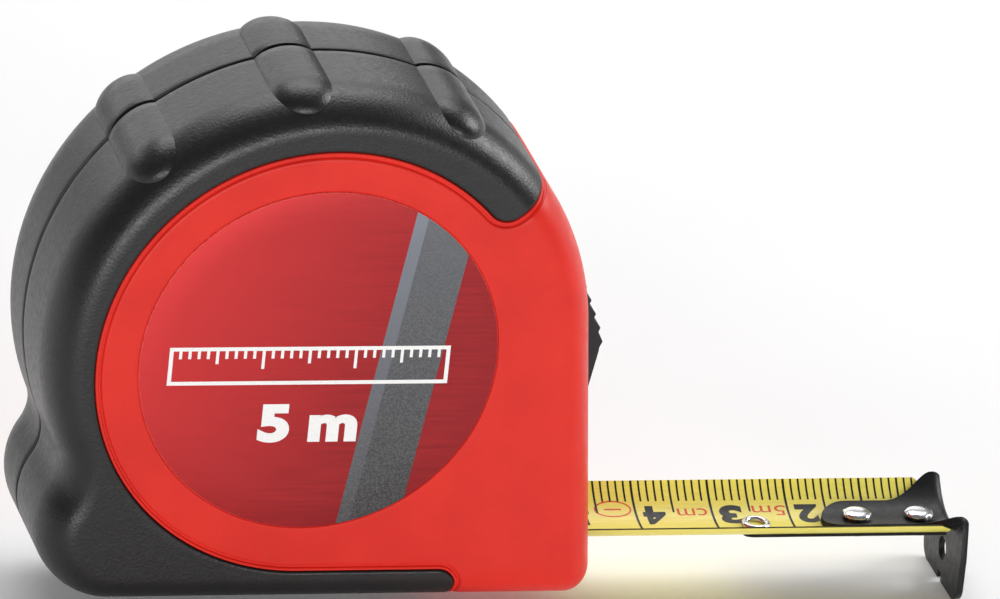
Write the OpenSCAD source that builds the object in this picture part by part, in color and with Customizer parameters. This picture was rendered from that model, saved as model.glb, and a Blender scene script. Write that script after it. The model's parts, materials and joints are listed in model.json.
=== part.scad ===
// Pocket tape measure: a D-shaped clamshell case with a rubber grip, a steel blade on a spring-driven
// spool, an end hook that floats on its rivets, a thumb lock and a belt clip.
// Origin: on the flat base, straight below the spool axis, on the parting plane between the two shells.
// +X is the way the blade comes out, +Y points to the belt clip side, +Z is up.

/* [Case] */
// Height of the spool axis above the base
axis_h = 34; // [33.6:0.2:34.4]
// Radius of the round outline
case_r = 34.6; // [34:0.1:34.8]
// Distance of the outline's centre in front of the spool axis
case_shift = 0.9; // [0.6:0.1:1]
// Thickness of the near half of the case, from the parting plane to the label's face
half_t = 16.4; // [16.2:0.1:17]
// How much thinner the far half is
far_trim = 3; // [2.8:0.1:3]
// Width of the straight band round the rim of the near half
rim_half = 9.5; // [9:0.1:10]
// Radius of the front bottom corner
corner_r = 3.8; // [3.6:0.1:4.4]
// Furthest point of the front, at the bottom corner
front_x = 38.8; // [38.5:0.1:39]
// Radius of the heel at the back of the base
heel_r = 9.5; // [9:0.1:10]
// Furthest point of the heel behind the spool axis
heel_x = 33.1; // [32.8:0.1:33.4]
// Radius of the waist between the round back and the heel
waist_r = 6; // [5.5:0.5:6.5]

/* [Grip] */
// Thickness of the rubber
rubber_t = 1.8; // [1.6:0.1:2]
// Radius of the red face that the rubber surrounds
face_r = 27.9; // [27.6:0.1:28.2]
// Angle above the horizontal where the rubber ends at the front
grip_end_a = 39; // [37:1:41]
// Height of the rubber strip along the base
strip_h = 5.2; // [5:0.1:5.6]
// Front end of the rubber strip along the base
strip_x = 20.3; // [19:0.1:22]
// Radius of the grip ribs
rib_r = 3.2; // [3:0.1:3.4]
// Height of the grip ribs above the rim
rib_h = 1.5; // [1.2:0.1:1.6]
// Angle of the front rib
rib_a = 62; // [60:1:64]
// Angle from one rib to the next
rib_step_a = 34.75; // [34:0.25:35]

/* [Blade] */
// Width of the blade, measured flat
blade_w = 16; // [15.8:0.1:16.2]
// Thickness of the blade with its coating
blade_t = 0.2; // [0.16:0.01:0.22]
// Outer radius of the blade's curved cross-section
cup_r = 9.6; // [9.4:0.1:9.8]
// Height of the blade's lowest line above the base
cup_h = 2.8; // [2.7:0.1:2.9]
// Distance of the blade's zero mark in front of the spool axis
zero_x = 88.6; // [84:0.2:89]

/* [Hook] */
// Thickness of the hook's sheet steel
hook_t = 0.8; // [0.7:0.05:0.85]
// Depth of the hook below the blade's lowest line
hook_drop = 7.6; // [7:0.1:8]
// Half the width of the hook
hook_half_w = 7.9; // [7.6:0.1:8]
// Radius of the hole in the hook
hook_hole_r = 1.55; // [1.4:0.05:1.6]

/* [Lock] */
// Travel of the lock button
lock_travel = 6; // [5:0.5:6]
// Travel of the brake shoe
brake_travel = 1.5; // [1.4:0.1:1.5]

/* [Hidden] */
$fn = 64;
arc_step_a = 6;
big = 200;

// Case outline: centres of its arcs, as [x, height]
far_t = half_t - far_trim;
round_c = [case_shift, axis_h];
corner_c = [front_x - corner_r, corner_r];
heel_c = [heel_r - heel_x, heel_r];
waist_c = meet(round_c, case_r + waist_r, heel_c, heel_r + waist_r);
front_a = tangent_angle(round_c, case_r, corner_c, corner_r);

// Shoulder of the case: five terraces from the rim to the face
steps = 5;
shoulder_inset = 4.2;
face_label_r = 22.6;
label_t = 0.3;
label_recess = 0.2;

// Hollow of the case
chamber_r = 30.6;
chamber_half = 10.8;
side_r = 27;
side_half = 13.9;
channel_back = 26.4;
channel_half = 7.7;
channel_low = 1.5;
channel_high = 8;

// Screws that hold the shells together
screw_r = 1.3;
screw_head_r = 2.5;
screw_head_y = 11.5 - far_trim;
screw_head_t = 1.7;
screw_tip = 8.6;
boss_r = 2.2;
boss_circle = 29.6;
screw_places = [
    polar(boss_circle, 128), polar(boss_circle, 58), [-25.5, axis_h - 22.5], [34.1, axis_h - 22.5]];

// Spool
arbor_r = 3;
arbor_half = 12.4;
arbor_boss_r = 5.6;
run_gap = 0.05;
washer_t = 0.5;
flange_r = 26.3;
flange_t = 1.2;
drum_r = 20.8;
drum_wall = 1;
drum_half = 8.3;
coil_r = 25.6;
spring_t = 0.25;
spring_first_r = 4.8;
spring_pitch = 1.78;
spring_turns = 8;
spring_half = 7.6;

// Blade and what is riveted to its end
cup_c = cup_h + cup_r;
cup_half_a = blade_w / 2 / (cup_r - blade_t / 2) * 180 / PI;
blade_back = 24.8;
blade_end_gap = 1.2;
rivet_places = [zero_x - 3.7, zero_x - 11.85];
rivet_r = 1.2;
rivet_head_r = 1.85;
rivet_head_low = 1.32;
rivet_head_t = 0.9;
rivet_tail_r = 1.6;
rivet_tail_t = 0.45;
plate_t = 0.4;
plate_back = zero_x - 27.1;
plate_half_w = 4.5;
eyelet_x = zero_x - 25;
eyelet_r = 1.9;
eyelet_hole_r = 0.9;
eyelet_tube_r = 1.2;

// Hook
hook_gap = 0.05;
hook_float = 0.8;
neck_back = zero_x - 16.35;
neck_half_w = 3.7;
flare_x = zero_x - 6.4;
hook_notch_w = 1.4;
hook_notch_h = 1.1;
hook_hole_h = cup_h - 3.3;

// Lock, in the frame of the leaning front face: x out of the face, z up along it
lock_h = axis_h - 2.5;
wall_t = 2.4;
button_half_w = 6;
neck_w = 4.8;
neck_half_l = 3;
slider_half_w = 5;
slider_half_l = 7;
slider_t = 1.9;
slider_foot_t = 4.8;
slider_foot_h = 3;

// Brake, which straddles the hook's neck
shoe_back = 25.6;
shoe_front = 30;
stem_front = 31.6;
stem_top = axis_h - 14.7;
shoe_half_w = 6.4;
shoe_foot_y = 4.6;
shoe_arch_h = axis_h - 27.2;
pad_t = 0.9;
pad_gap = 0.1;

// Belt clip
clip_w = 12;
clip_t = 0.9;
clip_gap = 4.5;
clip_top = axis_h + 14;
clip_low = axis_h - 16;
clip_base_low = axis_h - 1;
clip_screw_h = axis_h + 8.5;
clip_screw_r = 1.5;
clip_screw_tip = side_half - far_trim - 0.5;
clip_head_r = 3;
clip_head_t = 1.2;
clip_bend_r = clip_gap / 2;
clip_arm_y = far_t + clip_t + clip_gap;

// Point on a circle about the spool axis, as [x, height]
function polar(r, a) = [r * cos(a), axis_h + r * sin(a)];

// Point at distance r1 from c1 and r2 from c2, on the outer left of the line from c1 to c2
function meet(c1, r1, c2, r2) =
    let (d = norm(c2 - c1), u = (c2 - c1) / d, along = (d * d + r1 * r1 - r2 * r2) / (2 * d),
        across = sqrt(r1 * r1 - along * along))
    c1 + along * u + across * [u.y, -u.x];

// Direction of the shared tangent's normal on the front side of two circles
function tangent_angle(c1, r1, c2, r2) =
    let (d = c2 - c1) atan2(d.y, d.x) + acos((r1 - r2) / norm(d));

// Points along an arc, from one angle to another
function arc(c, r, a0, a1) =
    let (n = ceil(abs(a1 - a0) / arc_step_a))
    [for (k = [0 : n]) c + r * [cos(a0 + (a1 - a0) * k / n), sin(a0 + (a1 - a0) * k / n)]];

// Outline of the case, moved inwards by a distance: round back, waist, heel and front corner
module outline(inset = 0) {
    to_waist = 180 + atan((round_c.y - waist_c.y) / (round_c.x - waist_c.x));
    from_heel = 180 - atan((waist_c.y - heel_c.y) / (heel_c.x - waist_c.x));
    polygon(concat(
        arc(round_c, case_r - inset, front_a, to_waist),
        arc(waist_c, waist_r + inset, to_waist - 180, from_heel - 180),
        arc(heel_c, heel_r - inset, from_heel, 270),
        arc(corner_c, corner_r - inset, -90, front_a)));
}

// A flat shape in X and Z, given thickness from y0 to y1
module slab(y0, y1) {
    translate([0, y1, 0]) rotate([90, 0, 0]) linear_extrude(y1 - y0) children();
}

// A flat shape in Y and Z, given thickness from x0 to x1
module bar(x0, x1) {
    translate([x0, 0, 0]) rotate([90, 0, 90]) linear_extrude(x1 - x0) children();
}

// A box from its lowest corner to its highest corner
module box(low, high) {
    translate(low) cube(high - low);
}

// A round bar across the case at a place in X and Z
module cross_pin(place, r, y0, y1) {
    slab(y0, y1) translate(place) circle(r = r);
}

// Near half of the case's outside, from the parting plane to the face. Trim makes it thinner.
module half_body(trim) {
    for (k = [0 : steps - 1]) {
        depth = rim_half - trim + (half_t - rim_half) * sin(90 * (k + 1) / steps);
        slab(-depth, 0) outline(shoulder_inset * (1 - cos(90 * k / steps)));
    }
}

// Near half of the hard core that the rubber is moulded on
module half_core(trim) {
    slab(trim - 10.5, 0) outline(rubber_t);
    slab(trim - 12.8, 0) outline(rubber_t + 0.6);
    slab(trim - 14.2, 0) outline(rubber_t + 2.1);
}

// Area of the face and the front that stays bare plastic
module bare_area() {
    translate([0, axis_h]) circle(r = face_r);
    polygon([[0, axis_h], polar(big / 2, grip_end_a), [big, -big], [strip_x, -big],
        [strip_x, strip_h], [0, strip_h]]);
}

// Places something in the frame of the leaning front face
module on_front() {
    reach = (lock_h - round_c.y - case_r * sin(front_a)) / cos(front_a);
    foot = round_c + case_r * [cos(front_a), sin(front_a)] + reach * [-sin(front_a), cos(front_a)];
    translate([foot.x, 0, foot.y]) rotate([0, -front_a, 0]) children();
}

// Ribs across the top of the grip, each with two round noses
module ribs(trim) {
    nose = 11.4 - trim;
    for (k = [0 : 2]) {
        angle = rib_a + k * rib_step_a;
        place = polar(case_r + rib_h - rib_r + case_shift * cos(angle), angle);
        cross_pin(place, rib_r, -nose, 0);
        translate([place.x, -nose, place.y]) sphere(r = rib_r);
    }
}

// Everything that is open inside the case, on the near side
module half_hollow(trim) {
    slab(trim - chamber_half, 1) translate([case_shift, axis_h]) circle(r = chamber_r);
    slab(trim - side_half, 1) translate([0, axis_h]) circle(r = side_r);
    box([-channel_back, -channel_half, channel_low], [35, 1, channel_high]);
    box([33.5, -9.7, 0.8], [big, 1, channel_high + 0.1]);
    box([shoe_back - 0.6, -shoe_half_w - 0.4, channel_low], [31.9, 1, stem_top + 1.2]);
    on_front() {
        low = -slider_half_l - lock_travel - 0.6;
        box([-8, -slider_half_w - 0.4, low], [-wall_t, 1, slider_half_l + 0.6]);
        box([-8, -neck_w / 2 - 0.3, -neck_half_l - lock_travel - 0.3], [big, 1, neck_half_l + 0.3]);
    }
}

// Near half of the hard case, shared by both shells
module half_shell(trim = 0) {
    difference() {
        union() {
            half_core(trim);
            intersection() {
                half_body(trim);
                slab(-half_t, 0) bare_area();
            }
        }
        difference() {
            half_hollow(trim);
            for (place = screw_places) cross_pin(place, boss_r, -half_t, 2);
            difference() {
                cross_pin([0, axis_h], arbor_boss_r, -half_t, -drum_half - flange_t - washer_t - 2 * run_gap);
                cross_pin([0, axis_h], arbor_r, -arbor_half, 2);
            }
        }
        cross_pin([0, axis_h], arbor_r, -arbor_half, 2);
    }
}

// Near half of the rubber grip
module half_grip(trim = 0) {
    difference() {
        union() {
            half_body(trim);
            ribs(trim);
        }
        half_core(trim);
        slab(-half_t - 1, 1) bare_area();
    }
}

// Strip of the blade's curved cross-section between two radii
module cup_section(r_out, thickness, half_a) {
    translate([0, cup_c]) intersection() {
        difference() {
            circle(r = r_out);
            circle(r = r_out - thickness);
        }
        polygon([[0, 0], [-big * sin(half_a), -big * cos(half_a)], [0, -2 * big],
            [big * sin(half_a), -big * cos(half_a)]]);
    }
}

// Round hole or pin standing up through the blade
module upright(x, r, z0, z1) {
    translate([x, 0, z0]) cylinder(r = r, h = z1 - z0);
}

module near_shell() {
    color([0.86, 0.14, 0.10]) difference() {
        half_shell();
        for (place = screw_places) cross_pin(place, screw_r, -screw_tip - 0.4, 1);
        cross_pin([0, axis_h], face_label_r + 0.1, -half_t - 1, -half_t + label_recess);
    }
}

module far_shell() {
    color([0.86, 0.14, 0.10]) difference() {
        mirror([0, 1, 0]) half_shell(far_trim);
        for (place = screw_places) {
            cross_pin(place, screw_r + 0.15, -1, far_t);
            cross_pin(place, screw_head_r + 0.1, screw_head_y, far_t + 1);
        }
        cross_pin([0, clip_screw_h], clip_screw_r, clip_screw_tip, far_t + 1);
    }
}

module near_grip() {
    color([0.06, 0.06, 0.065]) half_grip();
}

module far_grip() {
    color([0.06, 0.06, 0.065]) difference() {
        mirror([0, 1, 0]) half_grip(far_trim);
        for (place = screw_places) cross_pin(place, screw_head_r + 0.3, screw_head_y - 1, far_t + 1);
    }
}

module face_label() {
    color([0.70, 0.12, 0.13])
        cross_pin([0, axis_h], face_label_r, -half_t + label_recess - label_t, -half_t + label_recess);
}

module case_screws() {
    color([0.20, 0.20, 0.21]) for (place = screw_places) {
        cross_pin(place, screw_r, -screw_tip, screw_head_y);
        difference() {
            cross_pin(place, screw_head_r, screw_head_y, screw_head_y + screw_head_t);
            translate([place.x, screw_head_y + screw_head_t, place.y]) {
                cube([3, 1.6, 0.6], center = true);
                cube([0.6, 1.6, 3], center = true);
            }
        }
    }
}

module mouth_liner() {
    color([0.08, 0.08, 0.08]) difference() {
        box([33.6, -9.6, 0.9], [front_x - 0.5, 9.6, channel_high]);
        box([33, -8.4, 1.6], [front_x, 8.4, channel_high - 0.8]);
    }
}

module arbor() {
    color([0.75, 0.76, 0.78]) difference() {
        cross_pin([0, axis_h], arbor_r, -arbor_half, arbor_half);
        box([-0.3, -spring_half, axis_h - 4], [0.3, spring_half, axis_h + 4]);
    }
}

module spool_washers() {
    inner = drum_half + flange_t + run_gap;
    color([0.90, 0.90, 0.88]) for (side = [0, 1]) mirror([0, side, 0]) difference() {
        cross_pin([0, axis_h], arbor_boss_r - 0.6, inner, inner + washer_t);
        cross_pin([0, axis_h], arbor_r + run_gap, 0, half_t);
    }
}

module spool_drum() {
    color([0.12, 0.12, 0.13]) difference() {
        union() {
            cross_pin([0, axis_h], drum_r, -drum_half, drum_half);
            cross_pin([0, axis_h], flange_r, drum_half, drum_half + flange_t);
        }
        cross_pin([0, axis_h], drum_r - drum_wall, -half_t, drum_half);
        cross_pin([0, axis_h], arbor_r + run_gap, 0, half_t);
    }
}

module spool_cover() {
    color([0.12, 0.12, 0.13]) difference() {
        cross_pin([0, axis_h], flange_r, -drum_half - flange_t, -drum_half);
        cross_pin([0, axis_h], arbor_r + run_gap, -half_t, 0);
    }
}

// Spiral made of half rings, whose centres step from side to side
module mainspring() {
    color([0.55, 0.57, 0.60]) slab(-spring_half, spring_half) translate([0, axis_h])
        for (k = [0 : 2 * spring_turns - 1]) {
            lower = k % 2;
            r = spring_first_r + k * spring_pitch / 2;
            translate([lower * spring_pitch / 2, 0]) intersection() {
                difference() {
                    circle(r = r + spring_t / 2);
                    circle(r = r - spring_t / 2);
                }
                translate([-big / 2, -lower * big]) square([big, big]);
            }
        }
}

module wound_blade() {
    color([0.80, 0.74, 0.28]) difference() {
        cross_pin([0, axis_h], coil_r, -blade_w / 2, blade_w / 2);
        cross_pin([0, axis_h], drum_r, -half_t, half_t);
    }
}

module blade() {
    color([0.90, 0.80, 0.25]) difference() {
        bar(blade_back, zero_x - blade_end_gap) cup_section(cup_r, blade_t, cup_half_a);
        for (x = rivet_places) upright(x, rivet_r, 0, cup_c);
        upright(eyelet_x, eyelet_tube_r, 0, cup_c);
    }
}

module backing_plate() {
    half_a = asin(plate_half_w / cup_r);
    color([0.10, 0.10, 0.11]) difference() {
        bar(plate_back, zero_x - blade_end_gap) cup_section(cup_r + plate_t, plate_t, half_a);
        for (x = rivet_places) upright(x, rivet_r, 0, cup_c);
        upright(eyelet_x, eyelet_tube_r, 0, cup_c);
    }
}

// Tube with a flange above the blade and one below the plate
module eyelet() {
    low = cup_h - plate_t - 0.45;
    high = cup_h + 0.85;
    color([0.80, 0.80, 0.82]) difference() {
        union() {
            upright(eyelet_x, eyelet_tube_r, low, high);
            upright(eyelet_x, eyelet_r, high - 0.42, high);
            upright(eyelet_x, eyelet_r - 0.3, low, low + 0.4);
        }
        upright(eyelet_x, eyelet_hole_r, 0, cup_c);
    }
}

module hook_rivets() {
    low = cup_h - plate_t - 0.05;
    head = cup_h + rivet_head_low;
    color([0.80, 0.80, 0.82]) for (x = rivet_places) {
        upright(x, rivet_r, low - rivet_tail_t, head);
        upright(x, rivet_tail_r, low - rivet_tail_t, low);
        intersection() {
            dome_r = (rivet_head_r * rivet_head_r + rivet_head_t * rivet_head_t) / (2 * rivet_head_t);
            translate([x, 0, head + rivet_head_t - dome_r]) sphere(r = dome_r);
            upright(x, rivet_head_r, head, head + rivet_head_t);
        }
    }
}

// Plan of the hook's top: a neck that flares out to the hook's full width
module hook_plan() {
    flare_r = hook_half_w - neck_half_w;
    translate([neck_back + neck_half_w, 0]) circle(r = neck_half_w);
    translate([neck_back + neck_half_w, -neck_half_w])
        square([zero_x + hook_t - neck_back - neck_half_w, 2 * neck_half_w]);
    difference() {
        translate([flare_x, -hook_half_w]) square([zero_x + hook_t - flare_x, 2 * hook_half_w]);
        for (side = [-1, 1]) translate([flare_x, side * hook_half_w]) circle(r = flare_r);
    }
}

// Front view of the hook's tab, with two rounded lobes and a notch between them
module hook_front() {
    lobe_r = 2.4;
    lobe_y = hook_half_w - lobe_r;
    low = cup_h - hook_drop;
    difference() {
        union() {
            translate([-hook_half_w, low + lobe_r]) square([2 * hook_half_w, cup_c - low - lobe_r]);
            translate([-lobe_y, low]) square([2 * lobe_y, lobe_r + 1]);
            for (side = [-1, 1]) translate([side * lobe_y, low + lobe_r]) circle(r = lobe_r);
        }
        translate([0, cup_c]) circle(r = cup_r - blade_t - hook_gap - hook_t);
        translate([0, hook_hole_h]) circle(r = hook_hole_r);
        translate([-hook_notch_w / 2, low - 1]) square([hook_notch_w, hook_notch_h + 1]);
        translate([-big, cup_h + 4]) square([2 * big, big]);
    }
}

module end_hook() {
    r_out = cup_r - blade_t - hook_gap;
    slot = rivet_r + run_gap;
    color([0.09, 0.09, 0.10]) {
        difference() {
            intersection() {
                bar(neck_back, zero_x) cup_section(r_out, hook_t, 60);
                linear_extrude(cup_h + 4) hook_plan();
            }
            for (x = rivet_places) {
                upright(x, slot, 0, cup_c);
                upright(x + hook_float, slot, 0, cup_c);
                box([x, -slot, 0], [x + hook_float, slot, cup_c]);
            }
        }
        bar(zero_x, zero_x + hook_t) hook_front();
    }
}

// Thumb button: a wedge with ridges on its upper flank
module lock_button() {
    gap = 0.3;
    peak = 3.1;
    half_l = 8;
    color([0.07, 0.07, 0.07]) on_front() {
        slab(-button_half_w, button_half_w) difference() {
            polygon([[gap, -half_l], [gap + 0.5, -half_l], [peak - 0.5, -1.6], [peak, -0.4],
                [peak - 0.2, 0.6], [gap + 0.4, half_l - 0.2], [gap, half_l]]);
            for (k = [0 : 3]) translate([peak + 0.3 - 0.33 * (k * 1.6 + 1), k * 1.6 + 1.4]) circle(r = 0.5);
        }
        box([-wall_t - 0.1, -neck_w / 2, -neck_half_l], [gap, neck_w / 2, neck_half_l]);
    }
}

module lock_slider() {
    back = wall_t + 0.1;
    color([0.15, 0.15, 0.16]) on_front() {
        box([-back - slider_t, -slider_half_w, -slider_half_l], [-back, slider_half_w, slider_half_l]);
        box([-back - slider_foot_t, -slider_half_w + 1, -slider_half_l],
            [-back, slider_half_w - 1, slider_foot_h - slider_half_l]);
    }
}

// Saddle with two feet that come down on the blade's flanks, on either side of the hook's neck
module brake_shoe() {
    rise = brake_travel + pad_gap;
    color([0.85, 0.85, 0.83]) {
        bar(shoe_back, shoe_front) difference() {
            translate([-shoe_half_w, 3]) square([2 * shoe_half_w, shoe_arch_h + 2 - 3]);
            translate([-shoe_foot_y, 0]) square([2 * shoe_foot_y, shoe_arch_h]);
            difference() {
                translate([-big / 2, 0]) square([big, cup_c + rise]);
                translate([0, cup_c + rise]) circle(r = cup_r - blade_t - pad_t);
            }
        }
        box([shoe_front - 2, -3.5, shoe_arch_h], [stem_front, 3.5, stem_top]);
    }
}

module brake_pads() {
    rise = brake_travel + pad_gap;
    color([0.05, 0.05, 0.05]) bar(shoe_back, shoe_front) intersection() {
        translate([0, rise]) cup_section(cup_r - blade_t, pad_t, 60);
        for (side = [0, 1]) mirror([side, 0])
            translate([shoe_foot_y, 0]) square([shoe_half_w - shoe_foot_y, cup_c]);
    }
}

// Side view of the clip's fixed part: plate on the case and the bend over the top
module clip_base() {
    bend_y = far_t + clip_t + clip_bend_r;
    color([0.30, 0.31, 0.33]) difference() {
        bar(-clip_w / 2, clip_w / 2) {
            translate([far_t, clip_base_low]) square([clip_t, clip_top - clip_base_low]);
            intersection() {
                translate([bend_y, clip_top]) difference() {
                    circle(r = clip_bend_r + clip_t);
                    circle(r = clip_bend_r);
                }
                translate([0, clip_top]) square([big, big]);
            }
        }
        cross_pin([0, clip_screw_h], clip_screw_r, far_t - 1, far_t + clip_t + 1);
    }
}

// Sprung arm: straight, then curved in to a rounded belt catch and out again at the tip
module clip_arm() {
    catch_r = 5;
    catch_depth = 1.5;
    catch_h = clip_low + 4;
    outer_y = clip_arm_y + clip_t;
    straight_low = catch_h + sqrt(catch_depth * (2 * catch_r - catch_depth)) - 0.4;
    color([0.30, 0.31, 0.33]) bar(-clip_w / 2, clip_w / 2) {
        translate([clip_arm_y, straight_low]) square([clip_t, clip_top - 0.1 - straight_low]);
        intersection() {
            translate([clip_arm_y - catch_depth + catch_r, catch_h]) difference() {
                circle(r = catch_r);
                circle(r = catch_r - clip_t);
            }
            union() {
                square([outer_y, big]);
                square([outer_y + 0.6, catch_h]);
            }
        }
    }
}

module clip_screw() {
    head_y = far_t + clip_t;
    color([0.20, 0.20, 0.21]) difference() {
        union() {
            cross_pin([0, clip_screw_h], clip_screw_r, clip_screw_tip, head_y);
            cross_pin([0, clip_screw_h], clip_head_r, head_y, head_y + clip_head_t);
        }
        translate([0, head_y + clip_head_t, clip_screw_h]) {
            cube([3.4, 1.2, 0.7], center = true);
            cube([0.7, 1.2, 3.4], center = true);
        }
    }
}

near_shell();
far_shell();
near_grip();
far_grip();
face_label();
case_screws();
mouth_liner();
arbor();
spool_washers();
spool_drum();
spool_cover();
mainspring();
wound_blade();
blade();
backing_plate();
eyelet();
hook_rivets();
end_hook();
lock_button();
lock_slider();
brake_shoe();
brake_pads();
clip_base();
clip_arm();
clip_screw();
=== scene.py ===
"""Looks of a pocket tape measure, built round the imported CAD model.

The frame is the CAD frame: origin on the base below the spool axis, +X the way the blade comes out,
+Y the belt clip side, +Z up. Shapes are worked out in millimetres and turned into metres by to_object().
"""

import json
import math

import bmesh
import bpy
import numpy as np
from mathutils import Matrix, Vector
from mathutils.kdtree import KDTree


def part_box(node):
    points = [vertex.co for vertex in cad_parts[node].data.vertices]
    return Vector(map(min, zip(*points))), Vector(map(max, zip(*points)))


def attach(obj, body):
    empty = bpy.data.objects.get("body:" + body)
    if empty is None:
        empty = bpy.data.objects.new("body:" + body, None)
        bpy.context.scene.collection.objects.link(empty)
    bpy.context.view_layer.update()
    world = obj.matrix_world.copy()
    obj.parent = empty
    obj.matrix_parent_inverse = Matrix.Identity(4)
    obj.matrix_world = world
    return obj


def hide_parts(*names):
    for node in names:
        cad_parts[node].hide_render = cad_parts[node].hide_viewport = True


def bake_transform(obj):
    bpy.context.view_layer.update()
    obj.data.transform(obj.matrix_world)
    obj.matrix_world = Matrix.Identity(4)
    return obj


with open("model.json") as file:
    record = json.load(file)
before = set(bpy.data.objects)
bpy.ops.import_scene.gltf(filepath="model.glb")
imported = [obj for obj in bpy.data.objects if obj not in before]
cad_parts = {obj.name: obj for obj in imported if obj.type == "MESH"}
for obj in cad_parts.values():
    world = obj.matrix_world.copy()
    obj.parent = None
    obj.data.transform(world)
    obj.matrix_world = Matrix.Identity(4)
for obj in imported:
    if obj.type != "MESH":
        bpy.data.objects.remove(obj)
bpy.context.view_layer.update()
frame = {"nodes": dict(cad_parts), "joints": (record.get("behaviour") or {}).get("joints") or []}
MM = 0.001


def box_mm(node):
    """Lowest and highest corner of a CAD node, in millimetres."""
    low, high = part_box(node)
    return np.array(low) / MM, np.array(high) / MM


def joint(name):
    """A joint of the frame, by its name."""
    return next(j for j in frame["joints"] if j["name"] == name)


# ---------------------------------------------------------------------------------------------
# Sizes, in millimetres
# ---------------------------------------------------------------------------------------------
AXIS_H = joint("spool_spin")["pos_m"][2] / MM
HALF_T = -box_mm("near_shell")[0][1]
FAR_T = box_mm("far_shell")[1][1]
FRONT_X = box_mm("near_shell")[1][0]
CASE_R = 34.6
CASE_SHIFT = 0.9
RIM_HALF = 9.5
CORNER_R = 3.8
HEEL_R = 9.5
HEEL_X = 32.5
WAIST_R = 6.0
SHOULDER_IN = 4.2
SHOULDER_DEEP = HALF_T - RIM_HALF

RUBBER_T = 1.8
CORE_GAP = 0.1
WALL_IN = 3.6
FACE_T = 2.4
FACE_R = 27.9
FACE_R_LOW = 28.8
GRIP_END_A = math.radians(39)
STRIP_H = AXIS_H - FACE_R_LOW
STRIP_X = 20.3
TONGUE_R = 2.6
STRIP_R = 2.2
GROOVE_HALF = 0.3
GROOVE_DEEP = 0.9

LABEL_R = box_mm("face_label")[1][0]
RECESS_R = LABEL_R + 0.12
RECESS_DEEP = 0.22

ROUND_C = np.array([CASE_SHIFT, AXIS_H])
CORNER_C = np.array([FRONT_X - CORNER_R, CORNER_R])
HEEL_C = np.array([HEEL_R - HEEL_X, HEEL_R])
SPOOL_C = np.array([0.0, AXIS_H])


def polar(r, angle):
    """Point about the spool axis, as x and height."""
    return SPOOL_C + r * np.array([math.cos(angle), math.sin(angle)])


# ---------------------------------------------------------------------------------------------
# Outline of the case: arcs and lines, anticlockwise from the front end of the rubber
# ---------------------------------------------------------------------------------------------
def waist_centre():
    """Centre of the hollow arc that touches the round back and the heel."""
    r1, r2 = CASE_R + WAIST_R, HEEL_R + WAIST_R
    between = HEEL_C - ROUND_C
    dist = np.linalg.norm(between)
    along = (dist ** 2 + r1 ** 2 - r2 ** 2) / (2 * dist)
    across = math.sqrt(r1 ** 2 - along ** 2)
    u = between / dist
    return ROUND_C + along * u + across * np.array([u[1], -u[0]])


def heading(a, b):
    """Angle of the way from a to b."""
    return math.atan2(b[1] - a[1], b[0] - a[0])


def outline_segments():
    """Each segment is (centre, radius, first angle, turn, length) or (start, direction, None, 0, length)."""
    waist = waist_centre()
    between = CORNER_C - ROUND_C
    front_a = heading(ROUND_C, CORNER_C) + math.acos((CASE_R - CORNER_R) / np.linalg.norm(between))
    start_a = GRIP_END_A + math.asin(CASE_SHIFT * math.sin(GRIP_END_A) / CASE_R)
    to_waist = heading(ROUND_C, waist) % (2 * math.pi)
    from_heel = heading(HEEL_C, waist) % (2 * math.pi)
    facing = np.array([math.cos(front_a), math.sin(front_a)])
    front_low, front_high = CORNER_C + CORNER_R * facing, ROUND_C + CASE_R * facing
    rise = front_high - front_low

    def arc(centre, r, a0, a1):
        return (centre, r, a0, 1 if a1 > a0 else -1, r * abs(a1 - a0))

    def line(a, b):
        length = np.linalg.norm(b - a)
        return (a, (b - a) / length, None, 0, length)

    heel_low, corner_low = np.array([HEEL_C[0], 0.0]), np.array([CORNER_C[0], 0.0])
    return [
        arc(ROUND_C, CASE_R, start_a, to_waist),
        arc(waist, WAIST_R, to_waist - math.pi, from_heel - math.pi),
        arc(HEEL_C, HEEL_R, from_heel, 1.5 * math.pi),
        line(heel_low, corner_low),
        arc(CORNER_C, CORNER_R, -0.5 * math.pi, front_a),
        line(front_low, front_high),
        arc(ROUND_C, CASE_R, front_a, start_a),
    ], start_a, front_a


SEGMENTS, START_A, FRONT_A = outline_segments()
STARTS = np.concatenate([[0.0], np.cumsum([seg[4] for seg in SEGMENTS])])
PERIMETER = STARTS[-1]
BASE_START = STARTS[3] - HEEL_C[0]
STRIP_END = BASE_START + STRIP_X


def outline_at(s):
    """Place, outward normal and curvature of the outline at distances s along it."""
    s = np.asarray(s, float)
    place, normal, curve = np.zeros(s.shape + (2,)), np.zeros(s.shape + (2,)), np.zeros(s.shape)
    for k, (origin, size, angle, turn, length) in enumerate(SEGMENTS):
        first, last = STARTS[k], STARTS[k + 1]
        here = (s >= first) & (s <= last)
        if k == 0:
            here |= s < first
        if k == len(SEGMENTS) - 1:
            here |= s > last
        t = s[here] - first
        if turn:
            a = angle + turn * t / size
            ray = np.stack([np.cos(a), np.sin(a)], -1)
            place[here] = origin + size * ray
            normal[here] = turn * ray
            curve[here] = turn / size
        else:
            place[here] = origin + t[:, None] * size
            normal[here] = [size[1], -size[0]]
            curve[here] = 0
    return place, normal, curve


# ---------------------------------------------------------------------------------------------
# Profile across the case: w runs from the parting line over the rim and the shoulder to the face
# ---------------------------------------------------------------------------------------------
_phi = np.linspace(0, math.pi / 2, 400)
_steps = np.hypot(np.diff(SHOULDER_IN * (1 - np.cos(_phi))), np.diff(SHOULDER_DEEP * np.sin(_phi)))
_along = np.concatenate([[0.0], np.cumsum(_steps)])
SHOULDER_END = RIM_HALF + _along[-1]


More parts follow.
